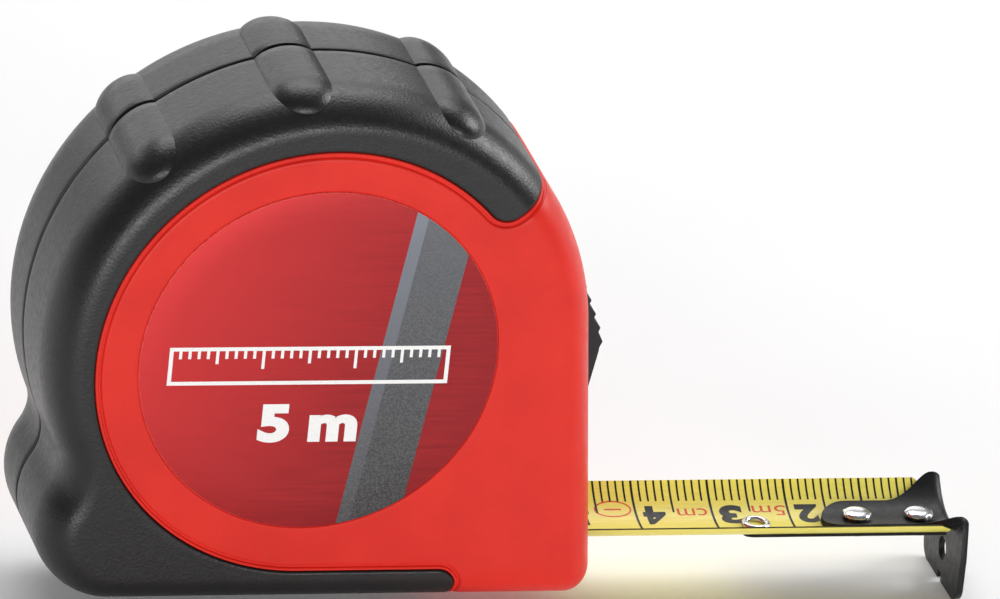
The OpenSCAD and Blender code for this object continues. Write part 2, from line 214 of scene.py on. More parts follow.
def profile(w):
    """Inset, half width, and the normal's parts outwards and sideways."""
    w = np.asarray(w, float)
    phi = np.interp(w - RIM_HALF, _along, _phi)
    inset = SHOULDER_IN * (1 - np.cos(phi)) + np.maximum(w - SHOULDER_END, 0)
    half = np.minimum(w, RIM_HALF) + SHOULDER_DEEP * np.sin(phi)
    out, side = np.cos(phi) / SHOULDER_IN, np.sin(phi) / SHOULDER_DEEP
    size = np.hypot(out, side)
    return inset, half, out / size, side / size, phi


class Spots:
    """Points of the smooth outer surface, with their normals and the inner wall behind them."""

    def __init__(self, base, normal, inner):
        self.base, self.normal, self.inner = base, normal, inner

    def sunk(self, depth):
        """Points at a depth below the surface."""
        return self.base - np.asarray(depth)[..., None] * self.normal

    def pick(self, *index):
        """Some of the Spots."""
        return Spots(self.base[index], self.normal[index], self.inner[index])


def join(spots, axis):
    """Several Spots as one."""
    return Spots(*(np.concatenate([getattr(k, part) for k in spots], axis)
                   for part in ("base", "normal", "inner")))


def on_case(s, w):
    """Spots at distance s along the outline and w across it, on the near side."""
    s, w = np.broadcast_arrays(np.asarray(s, float), np.asarray(w, float))
    place, across, _ = outline_at(s)
    inset, half, out, side, phi = profile(w)
    flat = place - inset[..., None] * across
    base = np.stack([flat[..., 0], -half, flat[..., 1]], -1)
    normal = np.stack([out * across[..., 0], -side, out * across[..., 1]], -1)
    inner_in = WALL_IN + (SHOULDER_IN - WALL_IN) * (1 - np.cos(phi)) + np.maximum(w - SHOULDER_END, 0)
    inner_half = np.minimum(w, RIM_HALF) + (SHOULDER_DEEP - FACE_T) * np.sin(phi)
    flat = place - inner_in[..., None] * across
    return Spots(base, normal, np.stack([flat[..., 0], -inner_half, flat[..., 1]], -1))


def on_face(plan):
    """Spots of the flat near face at plan points (x, height)."""
    x, z = plan[..., 0], plan[..., 1]
    level = np.full_like(x, -HALF_T)
    return Spots(np.stack([x, level, z], -1), np.broadcast_to([0.0, -1.0, 0.0], x.shape + (3,)).copy(),
                 np.stack([x, level + FACE_T, z], -1))


_ring_s = np.linspace(0, PERIMETER, 4000, endpoint=False)
_ring_place, _ring_normal, _ = outline_at(_ring_s)


def on_plan(plan):
    """Spots of the near face and shoulder at plan points: the inset comes from the nearest outline point."""
    flat = plan.reshape(-1, 2)
    inset, near = np.empty(len(flat)), np.empty(len(flat), int)
    for k in range(0, len(flat), 500):
        gap = ((flat[k:k + 500, None] - _ring_place[None]) ** 2).sum(-1)
        near[k:k + 500] = gap.argmin(1)
    inset = ((_ring_place[near] - flat) * _ring_normal[near]).sum(-1)
    spots = on_face(flat)
    for k in np.nonzero(inset < SHOULDER_IN)[0]:
        phi = math.acos(max(0.0, 1 - inset[k] / SHOULDER_IN))
        one = on_case(_ring_s[near[k]], RIM_HALF + np.interp(phi, _phi, _along))
        spots.base[k] = [flat[k][0], one.base[1], flat[k][1]]
        spots.normal[k] = one.normal
    shape = plan.shape[:-1] + (3,)
    return Spots(spots.base.reshape(shape), spots.normal.reshape(shape), spots.inner.reshape(shape))


# ---------------------------------------------------------------------------------------------
# Meshes
# ---------------------------------------------------------------------------------------------
MERGE = 0.004


def put_in_scene(name, data):
    """An object in the scene that holds some data."""
    obj = bpy.data.objects.new(name, data)
    bpy.context.scene.collection.objects.link(obj)
    return obj


def to_object(name, points, faces):
    """A mesh object from points in millimetres."""
    points = np.array(points, float) * MM
    mesh = bpy.data.meshes.new(name)
    mesh.from_pydata([tuple(p) for p in points], [], [tuple(int(i) for i in f) for f in faces])
    return put_in_scene(name, mesh)


def from_bmesh(name, bm):
    """A mesh object from a bmesh in metres, which is used up."""
    mesh = bpy.data.meshes.new(name)
    bm.to_mesh(mesh)
    bm.free()
    return put_in_scene(name, mesh)


def edit(obj, work):
    """Runs work on the object's mesh as a bmesh."""
    bm = bmesh.new()
    bm.from_mesh(obj.data)
    work(bm)
    bm.to_mesh(obj.data)
    bm.free()
    obj.data.update()
    return obj


def clean(obj, merge=MERGE * MM):
    """Merges doubles and turns all faces outwards."""
    def work(bm):
        bmesh.ops.remove_doubles(bm, verts=bm.verts, dist=merge)
        bmesh.ops.dissolve_degenerate(bm, edges=bm.edges, dist=merge / 4)
        bmesh.ops.recalc_face_normals(bm, faces=bm.faces)
    return edit(obj, work)


def close_slits(obj):
    """Closes the hair-thin slits that a boolean can leave along an edge."""
    def work(bm):
        bmesh.ops.holes_fill(bm, edges=[e for e in bm.edges if e.is_boundary], sides=12)
        bmesh.ops.dissolve_degenerate(bm, edges=bm.edges, dist=1e-7)
    return edit(obj, work)


def smooth(obj, sharp_deg=32):
    """Smooth shading, with edges sharper than an angle kept crisp."""
    limit = math.radians(sharp_deg)

    def work(bm):
        for face in bm.faces:
            face.smooth = True
        for edge in bm.edges:
            edge.smooth = len(edge.link_faces) == 2 and edge.calc_face_angle(0) < limit
    return edit(obj, work)


def apply_modifiers(obj):
    """Replaces the object's mesh by the one its modifiers make."""
    bpy.context.view_layer.update()
    graph = bpy.context.evaluated_depsgraph_get()
    mesh = bpy.data.meshes.new_from_object(obj.evaluated_get(graph))
    obj.modifiers.clear()
    obj.data = mesh
    return obj


def combine(obj, other, operation):
    """Boolean of the object with another one, which is used up."""
    mod = obj.modifiers.new("cut", "BOOLEAN")
    mod.operation, mod.solver, mod.object = operation, "EXACT", other
    apply_modifiers(obj)
    bpy.data.objects.remove(other)
    return obj


def thicken_sheet(obj, thickness, rim_material=0):
    """Gives an open sheet a thickness, half to each side."""
    mod = obj.modifiers.new("sheet", "SOLIDIFY")
    mod.thickness, mod.offset, mod.use_even_offset = thickness * MM, 0, True
    mod.material_offset_rim = rim_material
    return apply_modifiers(obj)


def bevel(obj, width, segments=2, angle=35, material=-1):
    """Rounds the edges sharper than an angle, and gives the new faces a material if one is named."""
    mod = obj.modifiers.new("edge", "BEVEL")
    mod.width, mod.segments, mod.limit_method = width * MM, segments, "ANGLE"
    mod.angle_limit, mod.material = math.radians(angle), material
    return apply_modifiers(obj)


def grid_faces(rows, cols, closed=False):
    """Quads of a grid stored row by row. Closed joins the last column to the first."""
    span = cols if closed else cols - 1
    return [(r * cols + c, r * cols + (c + 1) % cols, (r + 1) * cols + (c + 1) % cols, (r + 1) * cols + c)
            for r in range(rows - 1) for c in range(span)]


def solid_of(name, patches):
    """A closed wall: patches of (outer points, inner points) are merged along their shared edges, and the
    free edge that is left is joined to the inner side."""
    outer = np.concatenate([o.reshape(-1, 3) for o, _ in patches])
    inner = np.concatenate([i.reshape(-1, 3) for _, i in patches])
    faces, start = [], 0
    for o, _ in patches:
        faces += [tuple(start + k for k in f) for f in grid_faces(*o.shape[:2])]
        start += o.shape[0] * o.shape[1]
    tree = KDTree(len(outer))
    for k, p in enumerate(outer):
        tree.insert(p, k)
    tree.balance()
    same = np.arange(len(outer))
    for k, p in enumerate(outer):
        same[k] = min(hit[1] for hit in tree.find_range(p, MERGE))
    same = same[same]
    shell, edges = [], set()
    for f in faces:
        loop = [same[k] for k in f]
        loop = [v for k, v in enumerate(loop) if v != loop[k - 1]]
        if len(set(loop)) == len(loop) >= 3:
            shell.append(tuple(loop))
            edges.update((loop[k - 1], v) for k, v in enumerate(loop))
    n = len(outer)
    walls = [(b, a, a + n, b + n) for a, b in edges if (b, a) not in edges]
    used = sorted({v for f in shell for v in f})
    index = {v: k for k, v in enumerate(used)}
    index.update({v + n: k + len(used) for k, v in enumerate(used)})
    every = shell + [tuple(reversed([v + n for v in f])) for f in shell] + walls
    points = np.concatenate([outer[used], inner[used]])
    return clean(to_object(name, points, [tuple(index[v] for v in f) for f in every]))


# ---------------------------------------------------------------------------------------------
# Edge between rubber and bare plastic
# ---------------------------------------------------------------------------------------------
def face_radius(angle):
    """Radius of the bare face about the spool axis: a little larger towards the bottom."""
    t = np.clip((angle - math.radians(150)) / math.radians(120), 0, 1)
    return FACE_R + (FACE_R_LOW - FACE_R) * t * t * (3 - 2 * t)


def plan_to_case(plan):
    """Distances along and across the case of plan points on the round front part of the face."""
    ray = plan - ROUND_C
    r = np.hypot(ray[..., 0], ray[..., 1])
    return CASE_R * (np.arctan2(ray[..., 1], ray[..., 0]) - START_A), SHOULDER_END + CASE_R - r - SHOULDER_IN


def side_rows(low, top):
    """Distances across the case from the parting line up to the start of the rounded corner."""
    return np.concatenate([low + np.array([0, 0.1, 0.22, 0.4]), np.linspace(1.5, RIM_HALF, 6),
                           np.linspace(RIM_HALF, top, 20)[1:]])


CORNER_STEPS = 9
END_RUN = 14.0
MAIN_STEP = 0.72


class GripEdge:
    """The edge of the rubber as samples: (s, w) on the case for both ends, plan points for the long part
    between them, the direction towards the bare plastic, and the matching place on the parting line."""

    def __init__(self, low):
        toward = np.array([math.cos(START_A), math.sin(START_A)])
        beside = np.array([-toward[1], toward[0]])
        off = ROUND_C - SPOOL_C
        reach = FACE_R + TONGUE_R
        foot = off + TONGUE_R * beside
        a = -off @ toward + math.sqrt((off @ toward) ** 2 - foot @ foot + reach ** 2)
        centre = ROUND_C + a * toward + TONGUE_R * beside
        top = SHOULDER_END + CASE_R - a - SHOULDER_IN
        side = side_rows(low, top)
        first_a, last_a = heading(np.zeros(2), -beside), heading(centre, SPOOL_C)
        turn = (first_a - last_a) % (2 * math.pi)
        angles = first_a - turn * np.arange(1, CORNER_STEPS + 1) / CORNER_STEPS
        rays = np.stack([np.cos(angles), np.sin(angles)], -1)
        corner = centre + TONGUE_R * rays
        touch_a = math.atan2(*(corner[-1] - SPOOL_C)[::-1])
        run_a = touch_a + (END_RUN - TONGUE_R) / FACE_R * np.arange(1, 13) / 12
        run = SPOOL_C + FACE_R * np.stack([np.cos(run_a), np.sin(run_a)], -1)
        plan = np.concatenate([corner, run])
        s, w = plan_to_case(plan)
        plan_m = np.concatenate([rays, -(run - SPOOL_C) / FACE_R])
        ray = (plan - ROUND_C) / np.linalg.norm(plan - ROUND_C, axis=-1)[:, None]
        along = -plan_m[:, 0] * ray[:, 1] + plan_m[:, 1] * ray[:, 0]
        inwards = -(plan_m * ray).sum(-1)
        self.tongue = (np.concatenate([np.zeros(len(side)), s]), np.concatenate([side, w]),
                       np.concatenate([np.full(len(side), -1.0), along]),
                       np.concatenate([np.zeros(len(side)), inwards]))
        self.side_count = len(side)
        self.main_first = s[-1]

        self.strip_top = SHOULDER_END + STRIP_H - SHOULDER_IN
        side = side_rows(low, self.strip_top - STRIP_R)
        angles = 0.5 * math.pi * (1 - np.arange(CORNER_STEPS) / CORNER_STEPS)
        corner_s = STRIP_END - STRIP_R + STRIP_R * np.cos(angles)
        corner_w = self.strip_top - STRIP_R + STRIP_R * np.sin(angles)
        run_s = np.linspace(STRIP_END - END_RUN, STRIP_END - STRIP_R, 14)[:-1]
        self.strip = (np.concatenate([run_s, corner_s, np.full(len(side), STRIP_END)]),
                      np.concatenate([np.full(len(run_s), self.strip_top), corner_w, side[::-1]]),
                      np.concatenate([np.zeros(len(run_s)), np.cos(angles), np.ones(len(side))]),
                      np.concatenate([np.ones(len(run_s)), np.sin(angles), np.zeros(len(side))]))

        count = int((run_s[0] - self.main_first) / MAIN_STEP)
        self.main_s = np.linspace(self.main_first, run_s[0], count)[1:-1]
        start = on_case(self.main_s, SHOULDER_END).base
        plan = np.stack([start[:, 0], start[:, 2]], -1)
        angle = np.arctan2(plan[:, 1] - AXIS_H, plan[:, 0]) % (2 * math.pi)
        ray = np.stack([np.cos(angle), np.sin(angle)], -1)
        self.main_start = plan
        self.main_plan = SPOOL_C + face_radius(angle)[:, None] * ray
        self.main_m = -ray
        flat = plan[:, 0] >= 0
        flat &= plan[:, 1] < AXIS_H - FACE_R
        self.main_plan[flat] = np.stack([plan[flat, 0], np.full(flat.sum(), STRIP_H)], -1)
        self.main_m[flat] = [0, 1]

    def moved(self, shift):
        """Spots of the whole edge, moved by a distance towards the bare plastic."""
        parts = []
        for s, w, ms, mw in (self.tongue, self.strip):
            inset = profile(w)[0]
            scale = 1 - inset * outline_at(s)[2]
            parts.append(on_case(s + shift * ms / scale, w + shift * mw))
        return join([parts[0], on_face(self.main_plan + shift * self.main_m), parts[1]], 0)


def rim_rows(low):
    """Distances across the case from the parting line to the end of the shoulder."""
    return np.concatenate([low + np.array([0, 0.06, 0.16, 0.3]), np.linspace(1.6, RIM_HALF, 6),
                           np.linspace(RIM_HALF, SHOULDER_END, 20)[1:]])


FLAT_ROWS = 9


def grip_rows(edge, low, stop):
    """Rows of spots from the parting line to a distance short of the edge: (rows, samples)."""
    rows = rim_rows(low)
    flat_t = np.arange(1, FLAT_ROWS + 1) / FLAT_ROWS
    main = on_case(edge.main_s[None, :], rows[:, None])
    end_plan = edge.main_plan - stop * edge.main_m
    flat = edge.main_start + flat_t[:, None, None] * (end_plan - edge.main_start)
    main = join([main, on_face(flat)], 0)

    def end_part(data, parting_s, width):
        s, w, ms, mw = data
        scale = 1 - profile(w)[0] * outline_at(s)[2]
        s_end, w_end = s - stop * ms / scale, w - stop * mw
        line = np.concatenate([rows, SHOULDER_END + flat_t * width])
        t = ((line - low) / (line[-1] - low))[:, None]
        return on_case(parting_s + t * (s_end - parting_s), low + t * (w_end - low))

    def parting(data, from_s, to_s):
        """Parting line places that go with an end's samples, spread evenly."""
        steps = np.hypot(np.diff(data[0]), np.diff(data[1]))
        t = np.concatenate([[0.0], np.cumsum(steps)])
        return from_s + (to_s - from_s) * t / t[-1]

    first = end_part(edge.tongue, parting(edge.tongue, stop, edge.main_first),
                     np.linalg.norm(end_plan[0] - edge.main_start[0]))
    last = end_part(edge.strip, parting(edge.strip, edge.strip[0][0], STRIP_END - stop),
                    STRIP_H - SHOULDER_IN - stop)
    return join([first, main, last], 1)


def rounded(distance, radius):
    """Depth of a rounded edge at a distance from it."""
    t = np.clip(1 - np.asarray(distance) / radius, 0, 1)
    return radius * (1 - np.sqrt(1 - t * t))


# ---------------------------------------------------------------------------------------------
# Rubber grips
# ---------------------------------------------------------------------------------------------
RIB_ANGLES = [math.radians(62 + 34.75 * k) for k in range(3)]
RIB_PROUD = 1.05
RIB_WIDE = 4.5
RIB_HIGH = 2.8
RIB_STRAIGHT = RIM_HALF
RIB_NOSE = 5.6


def grip_body(name):
    """Rubber of one half: rounded edges towards the plastic, and a groove along the parting line."""
    edge = GripEdge(GROOVE_HALF)
    round_r = 0.35
    rows = grip_rows(edge, GROOVE_HALF, round_r)
    across = np.concatenate([rim_rows(GROOVE_HALF), np.full(FLAT_ROWS, SHOULDER_END)])
    depth = np.broadcast_to(0.7 * rounded(across - GROOVE_HALF, 0.3)[:, None], rows.base.shape[:2])
    lip = [edge.moved(-d) for d in (0.2, 0.09, 0.02, 0.0)]
    lip_depth = [rounded(d, round_r) for d in (0.2, 0.09, 0.02)] + [0.6]
    floor = rows.base[:1] - GROOVE_DEEP * rows.normal[:1]
    meet = floor.copy()
    meet[..., 1] = 0
    outer = np.concatenate([meet, floor, rows.sunk(depth)]
                           + [k.sunk(np.full(len(k.base), d))[None] for k, d in zip(lip, lip_depth)])
    behind = rows.sunk(np.full(rows.base.shape[:2], RUBBER_T))
    meet_in = behind[:1].copy()
    meet_in[..., 1] = 0
    inner = np.concatenate([meet_in, behind[:1], behind]
                           + [k.sunk(np.full(len(k.base), RUBBER_T))[None] for k in lip])
    return solid_of(name, [(outer, inner)])


def rib(angle):
    """One grip rib of the near half: flat below, rounded above, with a bullet nose at the face end."""
    centre_r = CASE_R + CASE_SHIFT * math.cos(angle) + RIB_PROUD - RIB_HIGH
    centre = polar(centre_r, angle)
    out = np.array([math.cos(angle), math.sin(angle)])
    along = np.array([-out[1], out[0]])
    nose = [math.sin(0.5 * math.pi * k / 14) for k in range(1, 14)] + [0.9995]
    stations = [(GROOVE_HALF + 0.06, 0.95), (GROOVE_HALF + 0.12, 0.98), (GROOVE_HALF + 0.3, 1.0)]
    stations += [(y, 1.0) for y in np.linspace(2, RIB_STRAIGHT, 5)]
    stations += [(RIB_STRAIGHT + RIB_NOSE * t, math.sqrt(1 - t * t)) for t in nose]
    turns = np.linspace(0, math.pi, 29)
    points, count = [], len(turns)
    for y, size in stations:
        for t in turns:
            flat = centre + size * (RIB_WIDE * math.cos(t) * along + RIB_HIGH * math.sin(t) * out)
            points.append([flat[0], -y, flat[1]])
    faces = grid_faces(len(stations), count, closed=True)
    faces.append(tuple(reversed(range(count))))
    faces.append(tuple(range((len(stations) - 1) * count, len(stations) * count)))
    return clean(to_object("rib", points, faces), 1e-7)


def grip(name, side):
    """Rubber of one half with its three ribs."""
    obj = grip_body(name)
    for angle in RIB_ANGLES:
        combine(obj, rib(angle), "UNION")
    close_slits(obj)
    if side > 0:
        mirror(obj)
    return obj


def mirror(obj):
    """Turns a near piece into the far one, whose rim is narrower."""
    near = np.array([-1.0, 1.0, RIM_HALF, 2 * HALF_T]) * MM
    far = near - np.array([0.0, 0.0, 1.0, 1.0]) * (HALF_T - FAR_T) * MM

    def work(bm):
        for v in bm.verts:
            v.co.y = np.interp(-v.co.y, near, far)
        bmesh.ops.reverse_faces(bm, faces=bm.faces)
    return edit(obj, work)


# ---------------------------------------------------------------------------------------------
# Red shells
# ---------------------------------------------------------------------------------------------
# Lip and channel beside the rubber, as (distance from the rubber, depth)
LIP = [(0.07, RUBBER_T + CORE_GAP), (0.07, 0.32), (0.11, 0.17), (0.2, 0.09), (0.38, 0.09), (0.47, 0.16),
       (0.54, 0.4), (0.74, 0.4), (0.86, 0.12), (0.96, 0.03), (1.1, 0.0)]
PARTING = [(0.0, 0.16), (0.1, 0.04), (0.22, 0.0)]
# Rays of the face mesh swing round the strip's corner, so that none cross each other there
SWING_MOST, SWING_REACH = math.radians(17), math.radians(65)


def parting_depth(w):
    """Depth of the fine V along the parting line of the plastic."""
    return np.interp(w, [p[0] for p in PARTING], [p[1] for p in PARTING])


def shell_patches(label):
    """Patches of one red half: under the rubber, beside it, the bare front, the face and its middle."""
    edge = GripEdge(0.0)
    deep = RUBBER_T + CORE_GAP
    core = grip_rows(edge, 0.0, 0.35)
    wall = edge.moved(LIP[0][0])
    core = join([core, Spots(wall.base[None], wall.normal[None], wall.inner[None])], 0)
    patches = [(core.sunk(np.full(core.base.shape[:2], deep)), core.inner)]

    band = [edge.moved(d) for d, _ in LIP]
    n, m = len(wall.base), edge.side_count
    near_line = np.zeros(n)
    near_line[:m] = parting_depth(edge.tongue[1][:m])
    near_line[n - m:] = parting_depth(edge.strip[1][-m:])
    outer = np.stack([k.sunk(np.maximum(d, near_line)) for k, (_, d) in zip(band, LIP)])
    patches.append((outer, np.stack([k.inner for k in band])))

    # Front: from the strip's end round the corner and up to the tongue
    reach = LIP[-1][0]
    left_w, right_w = edge.strip[1][-m:][::-1], edge.tongue[1][:m]
    cuts = [(STRIP_END + reach, STARTS[4], 14), (STARTS[4], STARTS[5], 15), (STARTS[5], STARTS[6], 24),
            (STARTS[6], PERIMETER - reach * 1.5, 26)]
    s = np.concatenate([np.linspace(a, b, k + 1)[:-1] for a, b, k in cuts] + [[PERIMETER]])
    t = ((s - s[0]) / (s[-1] - s[0]))[None, :]
    w = left_w[:, None] * (1 - t) + right_w[:, None] * t
    grid_s = np.broadcast_to(s, w.shape).copy()
    grid_s[:, -1] = PERIMETER - reach / (1 - profile(right_w)[0] / CASE_R)
    front = on_case(grid_s, w)
    last = edge.moved(reach)
    for part in ("base", "normal", "inner"):
        getattr(front, part)[:, 0] = getattr(last, part)[n - m:][::-1]
        getattr(front, part)[:, -1] = getattr(last, part)[:m]
    patches.append((front.sunk(parting_depth(w)), front.inner))

    # Face: from the channel and the top of the front in to the label or the middle
    loop = join([last.pick(slice(m - 1, n - m + 1)), front.pick(-1, slice(1, -1))], 0)
    loop = join([loop, loop.pick(slice(0, 1))], 0)
    plan = loop.base[:, [0, 2]]
    angle = np.unwrap(np.arctan2(plan[:, 1] - AXIS_H, plan[:, 0]))
    corner_a = math.atan2(STRIP_H - AXIS_H, STRIP_X + reach)
    lean = ((angle - corner_a + math.pi) % (2 * math.pi) - math.pi) / SWING_REACH
    angle += SWING_MOST * np.where(np.abs(lean) < 1, np.cos(0.5 * math.pi * lean) ** 2, 0)
    for k in range(1, len(angle)):
        angle[k] = max(angle[k], angle[k - 1] + 0.004)
    angle[-1] = angle[0] + 2 * math.pi
    ray = np.stack([np.cos(angle), np.sin(angle)], -1)
    start_r = RECESS_R + 0.25
    share = np.array([0.06, 0.14, 0.24, 0.36, 0.5, 0.66, 0.82, 0.93, 1.0])[:, None, None]
    face = on_plan(plan + share * (SPOOL_C + start_r * ray - plan))
    face = join([Spots(loop.base[None], loop.normal[None], loop.inner[None]), face], 0)
    patches.append((face.base, face.inner))
    if label:
        rings = [(start_r, 0.0), (RECESS_R + 0.1, 0.02), (RECESS_R + 0.02, 0.09), (RECESS_R, RECESS_DEEP)]
        rings += [(r, RECESS_DEEP) for r in (18, 12, 6, 0)]
    else:
        rings = [(r, 0.0) for r in (start_r, 18, 12, 6, 0)]
    disc = on_face(SPOOL_C + np.array([r for r, _ in rings])[:, None, None] * ray)
    depth = np.broadcast_to(np.array([d for _, d in rings])[:, None], disc.base.shape[:2])
    patches.append((disc.sunk(depth), disc.inner))
    return patches


def block(name, low, high):
    """A box between two corners, in millimetres."""
    low, high = np.array(low, float), np.array(high, float)
    points = [[(low, high)[i][0], (low, high)[j][1], (low, high)[k][2]]
              for i in (0, 1) for j in (0, 1) for k in (0, 1)]
    faces = [(0, 1, 3, 2), (4, 6, 7, 5), (0, 4, 5, 1), (2, 3, 7, 6), (0, 2, 6, 4), (1, 5, 7, 3)]
    return clean(to_object(name, points, faces), 1e-7)


def ring_points(shape, count, x=0.0):
    """Points of rings about +Z through (radius, height) points, ring by ring."""
    return [[x + r * math.cos(2 * math.pi * k / count), r * math.sin(2 * math.pi * k / count), z]
            for r, z in shape for k in range(count)]


def turned(name, shape, count=64):
    """A closed solid of revolution about +Z from (radius, height) points, in millimetres."""
    faces = grid_faces(len(shape), count, closed=True)
    return clean(to_object(name, ring_points(shape, count), faces), 1e-6)


def cross_pin(name, place, r, y0, y1, count=48):
    """A cylinder along Y at a place (x, height)."""
    pin = turned(name, [(0, y0), (r, y0), (r, y1), (0, y1)], count)
    pin.data.transform(Matrix.Translation((place[0] * MM, 0, place[1] * MM))
                       @ Matrix.Rotation(-math.pi / 2, 4, "X"))
    return pin


# How far the lock button's middle lies below the spool axis
LOCK_DROP = 2.5


def front_frame():
    """Frame of the leaning front face at the lock: x out of the face, z up along it."""
    lock_h = AXIS_H - LOCK_DROP
    facing = np.array([math.cos(FRONT_A), math.sin(FRONT_A)])
    rise = (lock_h - ROUND_C[1] - CASE_R * facing[1]) / facing[0]
    foot = ROUND_C + CASE_R * facing + rise * np.array([-facing[1], facing[0]])
    return Matrix.Translation((foot[0] * MM, 0, foot[1] * MM)) @ Matrix.Rotation(-FRONT_A, 4, "Y")


SCREW_PLACES = [polar(29.6, math.radians(128)), polar(29.6, math.radians(58)),
                np.array([-25.5, AXIS_H - 22.5]), np.array([34.1, AXIS_H - 22.5])]
SCREW_SEAT = 11.5 - (HALF_T - FAR_T)
# Space inside the case for the blade when it is wound in: back end, half width and floor
CHANNEL_BACK, CHANNEL_HALF, CHANNEL_LOW = -26.4, 7.7, 1.6


def shell(name, side):
    """A red half, open at the blade's mouth, along the blade's channel and at the lock's slot."""
    obj = solid_of(name, shell_patches(side < 0))
    if side > 0:
        mirror(obj)
    mouth_low, mouth_high = box_mm("mouth_liner")

    def space(kind, x, half, z):
        """A space of one half, open past the parting line."""
        y = sorted([side * half, -side * 5])
        return block(kind, [x[0], y[0], z[0]], [x[1], y[1], z[1]])

    slot = space("slot", (-12, 5), 2.7, (-9.3, 3.3))
    slot.data.transform(front_frame())
    for tool in (space("mouth", (mouth_low[0] - 0.4, FRONT_X + 5), mouth_high[1] + 0.05,
                       (mouth_low[2] - 0.05, mouth_high[2] + 0.05)),
                 space("channel", (CHANNEL_BACK, mouth_low[0] + 0.1), CHANNEL_HALF,
                       (CHANNEL_LOW, mouth_high[2] - 0.2)), slot):
        combine(obj, tool, "DIFFERENCE")
    return obj


def bore(obj, r, boss_r=0):
    """Screw bores of the far half, with a boss round each where the wall is plastic."""
    for place in SCREW_PLACES:
        if boss_r:
            combine(obj, cross_pin("boss", place, boss_r, 0.2, FAR_T - FACE_T + 0.25), "UNION")
        combine(obj, cross_pin("bore", place, r, SCREW_SEAT, FAR_T + 2), "DIFFERENCE")
    return obj


# ---------------------------------------------------------------------------------------------
# Blade, its print, and the hook
# ---------------------------------------------------------------------------------------------
BLADE_LOW, BLADE_HIGH = box_mm("blade")
CUP_R = 9.6
BLADE_T = 0.2
CUP_C = BLADE_LOW[2] + CUP_R
BLADE_W = 16.0
ZERO_X = BLADE_HIGH[0] + 1.2
EDGE_A = BLADE_W / 2 / (CUP_R - BLADE_T / 2)
PRINT_R = CUP_R - BLADE_T - 0.012
PRINT_T = 0.01


def cupped(points, r):
    """Bends flat (x, across) points onto the cup: across is measured along the arc."""
    points = np.asarray(points, float)
    a = points[:, 1] / r
    return np.stack([points[:, 0], r * np.sin(a), CUP_C - r * np.cos(a)], -1)


def cupped_strip(name, stations, half_widths, r_out, thick, cols=33):
    """A closed curved strip: half the width, along the arc, is given at each station along X."""
    rows = []
    for x, half in zip(stations, half_widths):
        across = np.linspace(-half, half, cols)
        rows.append(np.stack([np.full(cols, x), across], -1))
    flat = np.concatenate(rows)
    outer = cupped(flat, r_out).reshape(len(stations), cols, 3)
    scaled = flat * [1, (r_out - thick) / r_out]
    inner = cupped(scaled, r_out - thick).reshape(len(stations), cols, 3)
    return solid_of(name, [(inner, outer)])


def blade_strip():
    """Blade with its end corners cut off at an angle behind the hook."""
    x = np.concatenate([np.linspace(BLADE_LOW[0], BLADE_HIGH[0] - 1.6, 24), [BLADE_HIGH[0]]])
    half = np.full(len(x), EDGE_A * CUP_R)
    half[-1] -= 1.4
    return cupped_strip("blade_strip", x, half, CUP_R, BLADE_T, 41)


def flat_bmesh(pieces, place):
    """A bmesh of flat (points, faces) pieces. place(p) says where a flat point goes."""
    bm = bmesh.new()
    for points, faces in pieces:
        verts = [bm.verts.new(place(p)) for p in points]
        for f in faces:
            bm.faces.new([verts[k] for k in f])
    return bm


def thickened(bm):
    """Gives flat faces a second side, and returns that side's vertices."""
    made = bmesh.ops.extrude_face_region(bm, geom=bm.faces[:])
    return {v for v in made["geom"] if isinstance(v, bmesh.types.BMVert)}


def printed(name, pieces, lift=0.0):
    """One thin raised print from flat pieces, bent onto the blade."""
    bm = flat_bmesh(pieces, lambda p: (p[0], p[1], 0))
    for y in np.arange(-BLADE_W / 2 + 0.5, BLADE_W / 2, 0.5):
        bmesh.ops.bisect_plane(bm, geom=bm.verts[:] + bm.edges[:] + bm.faces[:],
                               plane_co=(0, y, 0), plane_no=(0, 1, 0), dist=1e-5)
    bmesh.ops.recalc_face_normals(bm, faces=bm.faces)
    if sum(f.normal.z * f.calc_area() for f in bm.faces) < 0:
        bmesh.ops.reverse_faces(bm, faces=bm.faces)
    lifted = thickened(bm)
    for v in bm.verts:
        v.co = cupped([[v.co.x, v.co.y]], PRINT_R - lift if v in lifted else PRINT_R + PRINT_T)[0] * MM
    bmesh.ops.recalc_face_normals(bm, faces=bm.faces)
    return from_bmesh(name, bm)


def flat_box(x, y0, y1, width):
    """One flat rectangle, centred on x."""
    points = [(x - width / 2, y0), (x + width / 2, y0), (x + width / 2, y1), (x - width / 2, y1)]
    return points, [(0, 1, 2, 3)]


def flat_text(words, height, width=None, weight=0.0):
    """Flat faces of some words, centred on the origin, read from +Z with +Y up."""
    curve = bpy.data.curves.new("words", "FONT")
    curve.body, curve.size, curve.offset, curve.resolution_u = words, 1.0, weight, 6
    obj = put_in_scene("words", curve)
    bpy.context.view_layer.update()
    mesh = bpy.data.meshes.new_from_object(obj.evaluated_get(bpy.context.evaluated_depsgraph_get()))
    bpy.data.objects.remove(obj)
    points = np.array([v.co[:2] for v in mesh.vertices])
    faces = [tuple(p.vertices) for p in mesh.polygons]
    low, high = points.min(0), points.max(0)
    scale = height / (high[1] - low[1])
    across = width / (high[0] - low[0]) if width else scale
    return (points - (low + high) / 2) * [across, scale], faces


def turned_text(words, x, y, height, width, weight=0.0):
    """Words on the blade at a centre, read from the far side."""
    points, faces = flat_text(words, height, width, weight)
    return np.array([x, y]) - points, faces


def oval(x, y, half_x, half_y, line):
    """A flat ring of elliptical shape."""
    t = np.linspace(0, 2 * math.pi, 48, endpoint=False)
    ray = np.stack([np.cos(t), np.sin(t)], -1)
    rings = [ray * [half_x, half_y] + [x, y], ray * [half_x - line, half_y - line] + [x, y]]
    return np.concatenate(rings), grid_faces(2, len(t), closed=True)


